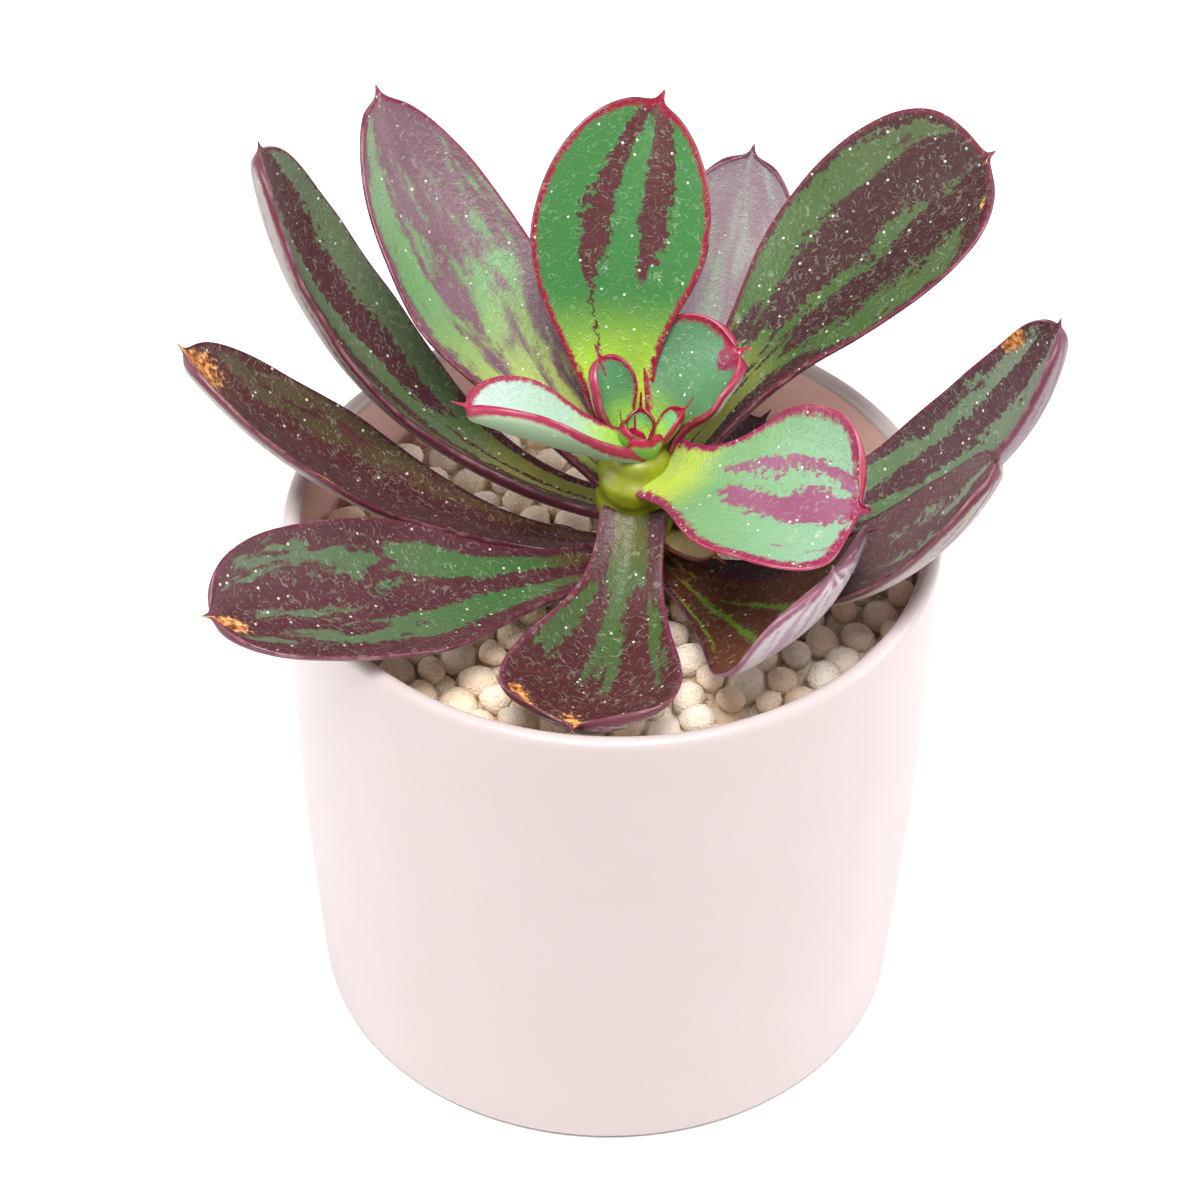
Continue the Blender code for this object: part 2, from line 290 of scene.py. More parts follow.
@dataclass(frozen=True)
class GranuleStone:
    """Fired clay and pumice granules: rolled, porous and dusty, so matte with small pits."""

    name: str
    pale: str = "#fff5e6"
    warm: str = "#fbe2c4"
    pit_shade: str = "#a98968"
    pit_mm: float = 0.95

    def make(self) -> Material:
        """Builds the material: a tone for each granule, rusty stains, and fine pits painted darker
        as shade.
        """
        material, tree, shader = new_material(self.name)
        place = add_node(tree, "TexCoord").outputs["Object"]
        tone = add_node(tree, "Attribute", settings={"attribute_name": "tone"})
        body = add_node(tree, "Mix", {
            0: tone.outputs["Fac"], 6: linear(self.pale), 7: linear(self.warm)}, RGBA)
        stain = add_node(tree, "TexNoise", {
            "Vector": place, "Scale": PER_MM / 4.0, "Detail": 4.0, "Roughness": 0.65})
        stained = add_node(tree, "MapRange", {
            "Value": stain, "From Min": 0.55, "From Max": 0.8, "To Max": 0.36})
        rusty = add_node(tree, "Mix", {0: stained, 6: body, 7: linear("#cfa67c")}, RGBA)
        pits = add_node(tree, "TexVoronoi", {
            "Vector": place, "Scale": PER_MM / self.pit_mm, "Randomness": 1.0})
        # Painted shade: the colour darkens in the pits, where the bump dips, as shade lying in the
        # pores.
        depth = add_node(tree, "MapRange", {
            "Value": pits, "From Min": 0.04, "From Max": 0.26,
            "To Min": 0.32, "To Max": 0.0})
        colour = add_node(tree, "Mix", {0: depth, 6: rusty, 7: linear(self.pit_shade)}, RGBA)
        rough = add_node(tree, "TexNoise", {"Vector": place, "Scale": PER_MM / 0.5, "Detail": 3.0})
        height = add_node(tree, "Math", {0: rough, 1: depth}, {"operation": "SUBTRACT"})
        bump = add_node(tree, "Bump", {"Strength": 1.0, "Distance": 0.45 * MM, "Height": height})
        feed(tree, shader, {"Base Color": colour, "Normal": bump, "Roughness": 0.9})
        return material


@dataclass(frozen=True)
class StemSkin:
    """Green bark of a young stem: smooth, waxy, yellow-green, browner at the foot."""

    name: str = "young_stem_skin"
    green: str = "#979d0a"
    shade: str = "#60660a"
    foot: str = "#6d4a26"
    low_mm: float = 88.0
    high_mm: float = 100.0

    def make(self) -> Material:
        """Builds the material: a brown foot, fine specks and darker lines in the scars."""
        material, tree, shader = new_material(self.name)
        place = add_node(tree, "TexCoord").outputs["Object"]
        split = add_node(tree, "SeparateXYZ", {0: place})
        blotch = add_node(tree, "TexNoise", {
            "Vector": place, "Scale": PER_MM / 2.4, "Detail": 4.0})
        skin = add_node(tree, "Mix", {
            0: blotch, 6: linear(self.green), 7: linear(self.shade)}, RGBA)
        rise = add_node(tree, "MapRange", {
            "Value": split.outputs[2], "From Min": self.low_mm * MM,
            "From Max": self.high_mm * MM, "To Min": 0.75, "To Max": 0.0})
        browned = add_node(tree, "Mix", {0: rise, 6: skin, 7: linear(self.foot)}, RGBA)
        groove = add_node(tree, "Attribute", settings={"attribute_name": "groove"})
        lined = add_node(tree, "Math", {0: groove.outputs["Fac"], 1: 0.6}, TIMES)
        colour = add_node(tree, "Mix", {0: lined, 6: browned, 7: linear("#4c5208")}, RGBA)
        bump = add_node(tree, "Bump", {"Strength": 0.3, "Distance": 0.2 * MM, "Height": blotch})
        feed(tree, shader, {
            "Base Color": colour, "Normal": bump, "Roughness": 0.42, "Subsurface Weight": 0.1,
            "Subsurface Radius": (0.6 * MM, 0.9 * MM, 0.2 * MM), "Subsurface Scale": 1.0})
        return material


@dataclass(frozen=True)
class LeafSkin:
    """Waxy skin of the upper face: green flesh under maroon pigment that lies in bands.

    The bands run along the leaf. `low` and `high` say how much pigment there is from the
    right edge (0) to the left edge (1), near the stem and near the tip.
    """

    low: Bands
    high: Bands
    seed: float
    change: tuple[float, float] = (0.3, 0.65)
    base: str = "#b7c24a"
    base_reach: float = 0.3
    green: str = "#6f9a5c"
    green_end: str = "#7f9c78"
    maroon: str = "#5e2f38"
    maroon_end: str = "#7a4a58"
    margin: str = "#6a1f33"
    margin_mm: float = 0.7
    mottle: float = 0.3
    patch_mm: float = 3.0
    soft: float = 0.09
    tip_wash: float = 0.25
    wash_from: float = 0.78
    cork: tuple[tuple[float, float, float], ...] = ()
    roughness: float = 0.4

    LEVEL = 0.67  # pigment shows where bands, patches and tears add up to this

    def pigment(self, tree: bpy.types.NodeTree, spot: Node, size: tuple[float, float],
                fine: Node) -> Node:
        """Adds the band pattern with its ragged edges.

        Args:
            tree: Node tree of the material.
            spot: Across, along and distance from the edge.
            size: Half width and length of the leaf in millimetres.
            fine: Fine noise that tears the edges of the bands.

        Returns:
            A node whose first output is 1 where the pigment is.
        """
        stretched = add_node(tree, "CombineXYZ", {
            0: spot.outputs[0], 1: spot.outputs[1], 2: self.seed})
        flow = add_node(tree, "TexNoise", {
            "Vector": stretched, "Scale": 2.6, "Detail": 3.0, "Distortion": 0.4})
        drift = add_node(tree, "MapRange", {"Value": flow, "To Min": -0.12, "To Max": 0.12})
        torn = add_node(tree, "MapRange", {
            "Value": fine, "From Min": 0.3, "From Max": 0.7,
            "To Min": -0.035, "To Max": 0.035})
        shift = add_node(tree, "Math", {0: drift, 1: torn}, ADD)
        across = add_node(tree, "MapRange", {
            "Value": spot.outputs[0], "From Min": -1.0, "From Max": 1.0})
        moved = add_node(tree, "Math", {0: across, 1: shift}, ADD)
        ramps = []
        for bands in (self.low, self.high):
            ramp = add_node(tree, "ValToRGB", {0: moved})
            set_ramp(ramp, [(where, (much, much, much, 1.0)) for where, much in bands])
            ramps.append(ramp)
        along = add_node(tree, "MapRange", {
            "Value": spot.outputs[1], "From Min": self.change[0],
            "From Max": self.change[1]}, SMOOTH)
        mixed = add_node(tree, "Mix", {0: along, 6: ramps[0], 7: ramps[1]}, RGBA)
        grown = add_node(tree, "VectorMath", {
            0: stretched,
            1: (size[0] / self.patch_mm, size[1] / (3.0 * self.patch_mm), 1.0)}, TIMES)
        patches = add_node(tree, "TexNoise", {
            "Vector": grown, "Scale": 1.0, "Detail": 3.0, "Roughness": 0.55,
            "Distortion": 0.3})
        patched = add_node(tree, "MapRange", {
            "Value": patches, "From Min": 0.3, "From Max": 0.7,
            "To Min": -self.mottle, "To Max": self.mottle})
        total = add_node(tree, "Math", {0: mixed, 1: patched}, ADD)
        total = add_node(tree, "Math", {0: fine, 1: 0.35, 2: total}, TIMES_ADD)
        tip = add_node(tree, "MapRange", {
            "Value": spot.outputs[1], "From Min": self.wash_from, "From Max": 0.98,
            "To Max": self.tip_wash}, SMOOTH)
        total = add_node(tree, "Math", {0: total, 1: tip}, ADD)
        return add_node(tree, "MapRange", {
            "Value": total, "From Min": self.LEVEL - self.soft,
            "From Max": self.LEVEL + self.soft}, SMOOTH)

    def corked(self, tree: bpy.types.NodeTree, spot: Node, fine: Node,
               size: tuple[float, float]) -> Node:
        """Adds the dry corky patches.

        Args:
            tree: Node tree of the material.
            spot: Across and along the leaf.
            fine: Noise that breaks the outline of a patch.
            size: Half width and length of the leaf in millimetres.

        Returns:
            A node that is 1 in a patch.
        """
        flat = add_node(tree, "CombineXYZ", {0: spot.outputs[0], 1: spot.outputs[1]})
        flat = add_node(tree, "VectorMath", {0: flat, 1: (size[0], size[1], 0.0)}, TIMES)
        total = None
        for across, along, radius in self.cork:
            reach = add_node(tree, "VectorMath", {
                0: flat, 1: (across * size[0], along * size[1], 0.0)}, {"operation": "DISTANCE"})
            ragged = add_node(tree, "Math", {0: fine, 1: -1.6 * radius, 2: reach}, TIMES_ADD)
            patch = add_node(tree, "MapRange", {
                "Value": ragged, "From Min": -0.1 * radius, "From Max": 0.25 * radius,
                "To Min": 1.0, "To Max": 0.0})
            total = patch if total is None else add_node(
                tree, "Math", {0: total, 1: patch}, {"operation": "MAXIMUM"})
        return total

    def make(self, name: str, size: tuple[float, float]) -> Material:
        """Builds the material of one leaf's upper face.

        Args:
            name: Name of the material.
            size: Half width and length of the leaf in millimetres.

        Returns:
            The material.
        """
        material, tree, shader = new_material(name)
        attribute = add_node(tree, "Attribute", settings={"attribute_name": "leaf_map"})
        spot = add_node(tree, "SeparateXYZ", {0: attribute.outputs["Vector"]})
        place = add_node(tree, "TexCoord").outputs["Object"]
        fine = add_node(tree, "TexNoise", {
            "Vector": place, "Scale": PER_MM / 1.1, "Detail": 3.0, "Roughness": 0.6})
        blotch = add_node(tree, "TexNoise", {
            "Vector": place, "Scale": PER_MM / 9.0, "Detail": 3.0})
        flesh = add_node(tree, "ValToRGB", {0: spot.outputs[1]})
        set_ramp(flesh, ((0.0, linear(self.base)), (self.base_reach * 0.5, linear(self.base)),
                         (self.base_reach * 1.4, linear(self.green)),
                         (1.0, linear(self.green_end))), smooth=True)
        pale = add_node(tree, "MapRange", {
            "Value": blotch, "From Min": 0.4, "From Max": 0.75, "To Max": 0.4})
        flesh = add_node(tree, "Mix", {0: pale, 6: flesh, 7: linear(self.green_end)}, RGBA)
        wine = add_node(tree, "Mix", {
            0: blotch, 6: linear(self.maroon), 7: linear(self.maroon_end)}, RGBA)
        pigment = self.pigment(tree, spot, size, fine)
        body = add_node(tree, "Mix", {0: pigment, 6: flesh, 7: wine}, RGBA)
        torn = add_node(tree, "MapRange", {
            "Value": fine, "From Min": 0.3, "From Max": 0.7,
            "To Min": -0.4 * self.margin_mm, "To Max": 0.4 * self.margin_mm})
        inset = add_node(tree, "Math", {0: spot.outputs[2], 1: torn}, ADD)
        edge = add_node(tree, "MapRange", {
            "Value": inset, "From Min": 0.7 * self.margin_mm,
            "From Max": 1.3 * self.margin_mm, "To Min": 1.0, "To Max": 0.0})
        edged = add_node(tree, "Mix", {0: edge, 6: body, 7: linear(self.margin)}, RGBA)
        # Wax on the skin lies in fine winding lines about a millimetre apart.
        lines = add_node(tree, "TexNoise", {
            "Vector": place, "Scale": PER_MM / 1.7, "Detail": 1.0, "Distortion": 0.8})
        level = add_node(tree, "Math", {0: lines, 1: 0.5}, {"operation": "SUBTRACT"})
        level = add_node(tree, "Math", {0: level}, {"operation": "ABSOLUTE"})
        wax = add_node(tree, "MapRange", {
            "Value": level, "From Min": 0.004, "From Max": 0.03,
            "To Min": 1.0, "To Max": 0.0})
        waxed_much = add_node(tree, "Math", {0: wax, 1: 0.14}, TIMES)
        waxed = add_node(tree, "Mix", {0: waxed_much, 6: edged, 7: linear("#c6d2b4")}, RGBA)
        # Grains of farina, about a third of a millimetre across and 2 to 3 mm apart.
        grains = add_node(tree, "TexVoronoi", {"Vector": place, "Scale": PER_MM / 2.4})
        dots = add_node(tree, "MapRange", {
            "Value": grains, "From Min": 0.07, "From Max": 0.13,
            "To Min": 0.75, "To Max": 0.0})
        dotted = add_node(tree, "Mix", {0: dots, 6: waxed, 7: linear("#dcdccb")}, RGBA)
        colour = dotted
        if self.cork:
            cork = self.corked(tree, spot, fine, size)
            bark = add_node(tree, "ValToRGB", {0: fine})
            set_ramp(bark, ((0.35, linear("#5b2f16")), (0.5, linear("#b9713a")),
                            (0.65, linear("#e0ae6e"))))
            colour = add_node(tree, "Mix", {0: cork, 6: colour, 7: bark}, RGBA)
        raised = add_node(tree, "Math", {0: wax, 1: 0.5, 2: fine}, TIMES_ADD)
        raised = add_node(tree, "Math", {0: raised, 1: dots}, ADD)
        bump = add_node(tree, "Bump", {"Strength": 0.6, "Distance": 0.26 * MM, "Height": raised})
        feed(tree, shader, {
            "Base Color": colour, "Normal": bump, "Roughness": self.roughness,
            "Specular IOR Level": 0.34})
        return material


@dataclass(frozen=True)
class LeafBack:
    """Underside of a leaf: the same wax, greyer, with pigment in thin broken streaks."""

    name: str
    pale: str
    wine: str
    amount: float
    rim: str

    def make(self) -> tuple[Material, Material]:
        """Builds the materials of the underside and of the leaf's edge, or finds them."""
        if self.name in bpy.data.materials:
            return bpy.data.materials[self.name], bpy.data.materials[self.name + "_edge"]
        material, tree, shader = new_material(self.name)
        attribute = add_node(tree, "Attribute", settings={"attribute_name": "leaf_map"})
        stretched = add_node(tree, "VectorMath", {
            0: attribute.outputs["Vector"], 1: (4.5, 1.6, 0.05)}, TIMES)
        place = add_node(tree, "TexCoord").outputs["Object"]
        streaks = add_node(tree, "TexNoise", {
            "Vector": stretched, "Scale": 1.4, "Detail": 4.0, "Distortion": 0.3})
        fine = add_node(tree, "TexNoise", {"Vector": place, "Scale": PER_MM / 1.1, "Detail": 3.0})
        torn = add_node(tree, "Math", {0: fine, 1: 0.3, 2: streaks}, TIMES_ADD)
        much = add_node(tree, "MapRange", {
            "Value": torn, "From Min": 0.86 - self.amount * 0.3,
            "From Max": 0.96 - self.amount * 0.3})
        body = add_node(tree, "Mix", {0: much, 6: linear(self.pale), 7: linear(self.wine)}, RGBA)
        grains = add_node(tree, "TexVoronoi", {"Vector": place, "Scale": PER_MM / 2.8})
        dots = add_node(tree, "MapRange", {
            "Value": grains, "From Min": 0.07, "From Max": 0.13,
            "To Min": 0.7, "To Max": 0.0})
        dotted = add_node(tree, "Mix", {0: dots, 6: body, 7: linear("#d9d4cf")}, RGBA)
        spot = add_node(tree, "SeparateXYZ", {0: attribute.outputs["Vector"]})
        inset = add_node(tree, "Math", {0: fine, 1: 0.6, 2: spot.outputs[2]}, TIMES_ADD)
        margin = add_node(tree, "MapRange", {
            "Value": inset, "From Min": 0.8, "From Max": 1.2,
            "To Min": 1.0, "To Max": 0.0})
        rimmed = add_node(tree, "Mix", {0: margin, 6: dotted, 7: linear(self.rim)}, RGBA)
        bump = add_node(tree, "Bump", {"Strength": 0.3, "Distance": 0.2 * MM, "Height": fine})
        feed(tree, shader, {"Base Color": rimmed, "Normal": bump, "Roughness": 0.45})
        return material, self.make_edge()

    def make_edge(self) -> Material:
        """Builds the material of the edge: a thin hard line of dense pigment."""
        material, tree, shader = new_material(self.name + "_edge")
        place = add_node(tree, "TexCoord").outputs["Object"]
        uneven = add_node(tree, "TexNoise", {
            "Vector": place, "Scale": PER_MM / 3.0, "Detail": 3.0})
        lighter = add_node(tree, "MapRange", {
            "Value": uneven, "From Min": 0.4, "From Max": 0.8, "To Max": 0.5})
        colour = add_node(tree, "Mix", {
            0: lighter, 6: linear(self.rim), 7: linear("#b98a92")}, RGBA)
        feed(tree, shader, {"Base Color": colour, "Roughness": 0.34})
        return material


# ---------------------------------------------------------------- pot and fill


@dataclass
class Pot:
    """The pot: a bowed tumbler of glazed stoneware with a full round lip."""

    rim_radius: float = 55.0
    base_radius: float = 50.0
    height: float = 98.0
    bow: float = 0.67
    wall: float = 3.1
    floor: float = 5.0
    base_edge: float = 1.6
    inner_corner: float = 5.0
    foot_ring: float = 6.0
    foot_recess: float = 0.8
    sides: int = 144
    rings: int = 14

    def radius(self, height: float) -> float:
        """Outer radius at a height above the table."""
        part = height / self.height
        return self.base_radius + (self.rim_radius - self.base_radius) * (
            part + self.bow * part * (1.0 - part))

    def build(self) -> Piece:
        """Models the pot from one cylinder: hollowed, ringed, bowed and rounded."""
        deselect_all()
        bpy.ops.mesh.primitive_cylinder_add(
            vertices=self.sides, radius=self.base_radius * MM, depth=self.height * MM,
            location=(0.0, 0.0, self.height * MM / 2.0))
        bpy.ops.object.transform_apply(location=True, rotation=True, scale=True)
        pot = named("pot_glazed")
        top = self.height * MM
        bpy.ops.object.mode_set(mode="EDIT")
        pick_faces(pot, lambda centre, normal: normal.z > 0.9)
        bpy.ops.mesh.inset(thickness=self.wall * MM)
        bpy.ops.mesh.extrude_region_move(
            TRANSFORM_OT_translate={"value": (0.0, 0.0, (self.floor - self.height) * MM)})
        pick_faces(pot, lambda centre, normal: normal.z < -0.9)
        bpy.ops.mesh.inset(thickness=self.foot_ring * MM)
        bpy.ops.mesh.extrude_region_move(
            TRANSFORM_OT_translate={"value": (0.0, 0.0, self.foot_recess * MM)})
        pick_edges(pot, lambda a, b: abs(a.z - b.z) > 0.5 * top)
        bpy.ops.mesh.subdivide(number_cuts=self.rings)
        bpy.ops.object.mode_set(mode="OBJECT")
        self.bow_wall(pot)
        bpy.ops.object.mode_set(mode="EDIT")
        lip = self.wall * MM * 0.497
        pick_edges(pot, lambda a, b: (
            min(a.z, b.z) > top - 1e-6 and abs(a.xy.length - b.xy.length) < 1e-5))
        bpy.ops.mesh.bevel(offset=lip, segments=8, affect="EDGES")
        base = self.base_radius * MM
        pick_edges(pot, lambda a, b: (
            max(a.z, b.z) < 1e-6 and min(a.xy.length, b.xy.length) > base - 1e-4))
        bpy.ops.mesh.bevel(offset=self.base_edge * MM, segments=6, affect="EDGES")
        floor = self.floor * MM
        pick_edges(pot, lambda a, b: abs(a.z - floor) < 1e-6 and abs(b.z - floor) < 1e-6)
        bpy.ops.mesh.bevel(offset=self.inner_corner * MM, segments=6, affect="EDGES")
        bpy.ops.object.mode_set(mode="OBJECT")
        bpy.ops.object.shade_smooth_by_angle(angle=math.radians(35.0))
        return pot

    def bow_wall(self, pot: Piece) -> None:
        """Moves every point of the two walls out to the bowed radius."""
        for vertex in pot.data.vertices:
            height = vertex.co.z * PER_MM
            radius = vertex.co.xy.length * PER_MM
            if radius < 1.0:
                continue
            outer = radius > self.base_radius - 0.5 * self.wall
            if outer or height > self.floor - 0.1:
                wanted = self.radius(height) - (0.0 if outer else self.wall)
                vertex.co.x *= wanted / radius
                vertex.co.y *= wanted / radius

    def dress(self, pot: Piece) -> None:
        """Glazes the pot: inside, below the lip, a lighter and rosier copy of the same glaze is
        painted light on the shaded inner wall.
        """
        outside = StonewareGlaze("satin_glazed_stoneware", "#b8abaa", "#b3a6a4", "#c8a29b")
        # Painted light: the inner wall gets a lighter, rosier copy of the same glaze, setting how
        # bright the shaded inside of the pot looks.
        inside = StonewareGlaze("satin_glazed_stoneware_inside_painted_light", "#e8c1bb", "#ddb4ae", "#a8827b")
        pot.data.materials.append(outside.make())
        pot.data.materials.append(inside.make())
        # Faces of the inner wall below the lip take the painted-light copy of the glaze.
        lip = self.height - 1.2 * self.wall
        for face in pot.data.polygons:
            centre = face.center
            height = centre.z * PER_MM
            inner = centre.xy.length * PER_MM < self.radius(height) - 0.8 * self.wall
            face.material_index = 1 if inner and self.floor - 0.5 < height < lip else 0
        hand_over(pot, Slot.POT, "pot")


@dataclass
class GranuleBed:
    """The dressing of rounded granules over the soil, with a packed layer under it."""

    pot: Pot
    surface: float = 86.0
    edge_gap: float = 3.4
    spacing: float = 6.4
    smallest: float = 2.3
    largest: float = 3.8
    stem_x: float = 4.6
    stem_y: float = -1.0
    stem_clear: float = 6.0
    jitter: float = 1.3
    squeeze: float = 0.94
    rounds: int = 14
    layers: tuple[float, float] = (-3.2, 0.4)
    packed: float = 6.0
    variants: int = 6
    rng: random.Random = field(default_factory=lambda: random.Random(11))

    ROW = 0.87  # rows of close-packed balls stand this share of a ball apart

    def spread(self, height: float) -> list[tuple[Vector, float]]:
        """Lays one layer of granules: a jittered grid, pushed apart until few overlap.

        Args:
            height: Height of the layer above the table.

        Returns:
            Centre and radius of each granule.
        """
        reach = self.pot.radius(height) - self.edge_gap
        spots: list[list[float]] = []
        pitch = self.spacing * self.ROW
        rows = int(reach * 2 / pitch) + 2
        for row in range(rows):
            for column in range(rows):
                x = (column + 0.5 * (row % 2)) * self.spacing - reach
                y = row * pitch - reach
                x += self.rng.uniform(-self.jitter, self.jitter)
                y += self.rng.uniform(-self.jitter, self.jitter)
                radius = self.rng.uniform(self.smallest, self.largest)
                if math.hypot(x, y) < reach:
                    spots.append([x, y, radius])
        for _ in range(self.rounds):
            self.relax(spots, reach)
        laid = []
        for x, y, radius in spots:
            if math.hypot(x - self.stem_x, y - self.stem_y) > self.stem_clear:
                mound = 0.9 * noise.noise(Vector((x / 17.0, y / 17.0, height)))
                z = height - radius + mound + self.rng.uniform(-0.5, 0.7)
                laid.append((Vector((x, y, z)), radius))
        return laid

    def relax(self, spots: list[list[float]], reach: float) -> None:
        """Pushes overlapping granules apart once, and keeps them inside the pot."""
        for index, one in enumerate(spots):
            for other in spots[index + 1:]:
                away_x, away_y = other[0] - one[0], other[1] - one[1]
                wanted = (one[2] + other[2]) * self.squeeze
                if abs(away_x) > wanted or abs(away_y) > wanted:
                    continue
                gap = math.hypot(away_x, away_y)
                if 1e-6 < gap < wanted:
                    push = 0.5 * (wanted - gap) / gap
                    one[0] -= away_x * push
                    one[1] -= away_y * push
                    other[0] += away_x * push
                    other[1] += away_y * push
            from_axis = math.hypot(one[0], one[1])
            limit = reach - one[2]
            if from_axis > limit:
                one[0] *= limit / from_axis
                one[1] *= limit / from_axis

    def model_granules(self) -> list[bpy.types.Mesh]:
        """Models a few different granules once, each a lumpy ball of 80 faces."""
        shapes = []
        for variant in range(self.variants):
            deselect_all()
            bpy.ops.mesh.primitive_ico_sphere_add(subdivisions=2, radius=1.0)
            bpy.ops.object.mode_set(mode="EDIT")
            bpy.ops.transform.resize(value=(
                1.0, self.rng.uniform(0.82, 1.0), self.rng.uniform(0.72, 0.9)))
            bpy.ops.object.mode_set(mode="OBJECT")
            lump = bpy.context.object
            for vertex in lump.data.vertices:
                swell = noise.noise(vertex.co * 1.1 + Vector((variant * 7.0, 0.0, 0.0)))
                vertex.co *= 1.0 + 0.16 * swell
            bpy.ops.object.shade_smooth()
            shapes.append(lump.data.copy())
            bpy.data.objects.remove(lump)
        return shapes

    def build(self) -> Piece:
        """Models the whole bed: a packed disc and two layers of granules, as one mesh."""
        shapes = self.model_granules()
        lower, upper = (self.spread(self.surface + offset) for offset in self.layers)
        deselect_all()
        level = self.surface - self.packed
        bpy.ops.mesh.primitive_cylinder_add(
            vertices=96, radius=(self.pot.radius(level) - 3.5) * MM, depth=self.packed * MM,
            location=(0.0, 0.0, (level - self.packed / 2.0) * MM))
        bpy.ops.object.transform_apply(location=True, rotation=True, scale=True)
        bed = named("granule_dressing")
        mesh = bmesh.new()
        mesh.from_mesh(bed.data)
        tone = mesh.verts.layers.float.new("tone")
        for place, radius in lower + upper:
            shape = self.rng.choice(shapes)
            turn = Matrix.Rotation(self.rng.uniform(0.0, math.tau), 4, "Z") @ Matrix.Rotation(
                self.rng.uniform(-0.5, 0.5), 4, "X")
            first = len(mesh.verts)
            mesh.from_mesh(shape)
            mesh.verts.ensure_lookup_table()
            shade = self.rng.random()
            for vertex in mesh.verts[first:]:
                vertex.co = (turn @ (vertex.co * radius * MM)) + place * MM
                vertex[tone] = shade
        for face in mesh.faces:
            face.smooth = len(face.verts) == 3
        mesh.to_mesh(bed.data)
        mesh.free()
        return bed

    def dress(self, bed: Piece) -> None:
        """Gives the granules their stone and keeps the soil node under them."""
        bed.data.materials.append(GranuleStone("rolled_clay_granules").make())
        hand_over(bed, Slot.GRAVEL, "gravel")
        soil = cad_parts["potting_soil"]
        soil.data.materials.clear()
        soil.data.materials.append(PeatMix().make())


# ---------------------------------------------------------------- plant


@dataclass
class Stem:
    """The stem: thick at the foot, ringed with leaf scars, thicker again at the crown."""

    ground: float = 86.0
    foot_x: float = 4.6
    foot_y: float = -1.0
    lean_x: float = -0.4
    lean_y: float = -2.5
    rise: float = 31.0
    foot_radius: float = 5.6
    neck_radius: float = 4.6
    crown_radius: float = 5.4
    dome: float = 3.2
    collar: float = 1.6
    root: float = 26.0
    scars: int = 14
    first_scar: float = 1.5
    scar_apart: float = 1.75
    first_turn: float = 262.0
    sides: int = 64
    rings: int = 90

    GOLDEN_ANGLE = 137.5  # each leaf of a spiral stands this many degrees past the last

    def centre(self, above: float) -> Vector:
        """Centre of the stem at a height above the granules."""
        lean = max(above, 0.0) / self.rise
        return Vector((self.foot_x + self.lean_x * lean, self.foot_y + self.lean_y * lean,
                       self.ground + above))

    def radius(self, above: float) -> float:
        """Radius of the stem at a height above the granules."""
        if above <= 0.0:
            return self.foot_radius
        part = min(above, self.rise - self.dome) / self.rise
        narrow = self.foot_radius + (self.neck_radius - self.foot_radius) * min(1.0, 3.0 * part)
        swell = (self.crown_radius - self.neck_radius) * max(0.0, part - 0.4) / 0.6
        into_dome = max(0.0, above - self.rise + self.dome) / self.dome
        return (narrow + swell) * math.sqrt(max(0.0, 1.0 - into_dome ** 2))

    def scar(self, angle: float, above: float) -> tuple[float, float]:
        """Relief of the scars at a point of the skin.

        Args:
            angle: Direction from the stem's axis, in radians.
            above: Height above the granules, in millimetres.

        Returns:
            How far the skin stands out, in millimetres, and how deep in a groove it is.
        """
        out, groove = 0.0, 0.0
        for number in range(self.scars):
            level = self.first_scar + number * self.scar_apart
            turn = math.radians(self.GOLDEN_ANGLE * number + self.first_turn)
            away = math.remainder(angle - turn, math.tau) * self.neck_radius
            rise = above - level - 0.06 * away ** 2
            inside = math.hypot(away / 4.0, rise / 2.6)
            if inside < 1.0:
                out = max(out, 0.75 * (1.0 - inside ** 4))
            groove = max(groove, 1.0 - abs(inside - 1.0) / 0.13)
        return out, max(0.0, groove)

    def build(self) -> Piece:
        """Models the stem from one cylinder, ringed and then shaped ring by ring."""
        deselect_all()
        bpy.ops.mesh.primitive_cylinder_add(
            vertices=self.sides, radius=self.foot_radius * MM, depth=1.0,
            location=(0.0, 0.0, 0.5))
        bpy.ops.object.transform_apply(location=True, rotation=True, scale=True)
        stem = named("stem_scarred")
        bpy.ops.object.mode_set(mode="EDIT")
        pick_edges(stem, lambda a, b: abs(a.z - b.z) > 0.5)
        bpy.ops.mesh.subdivide(number_cuts=self.rings)
        bpy.ops.object.mode_set(mode="OBJECT")
        grooves = []
        for vertex in stem.data.vertices:
            above = vertex.co.z * (self.rise + self.root - 0.05) - self.root
            angle = math.atan2(vertex.co.y, vertex.co.x)
            out, groove = self.scar(angle, above)
            fade = min(1.0, max(0.0, (self.rise - self.dome - above) / 2.0))
            collar = self.collar * max(0.0, min(1.0, above / 6.0)) * fade
            radius = self.radius(above) + collar + out * fade
            spot = self.centre(above) + Vector((math.cos(angle), math.sin(angle), 0.0)) * radius
            vertex.co = spot * MM
            grooves.append(groove * fade)
        layer = stem.data.attributes.new("groove", "FLOAT", "POINT")
        layer.data.foreach_set("value", grooves)
        bpy.ops.object.shade_smooth_by_angle(angle=math.radians(50.0))
        return stem

    def dress(self, stem: Piece) -> None:
        """Gives the stem its skin."""
        stem.data.materials.append(StemSkin().make())
        hand_over(stem, Slot.STEM, "stem")


MATURE_BACK = LeafBack("leaf_underside_mauve", "#8e847c", "#724c5b", 0.75, "#561f2e")
YOUNG_BACK = LeafBack("leaf_underside_mint", "#9cb594", "#944f63", 0.12, "#901c3f")
BUD_BACK = LeafBack("bud_underside", "#7aad4b", "#8e1737", 0.2, "#971035")
OLD_BACK = LeafBack("leaf_underside_old", "#847a49", "#7f534b", 0.35, "#713b33")

PLAIN: Bands = ((0.0, 0.0), (1.0, 0.0))

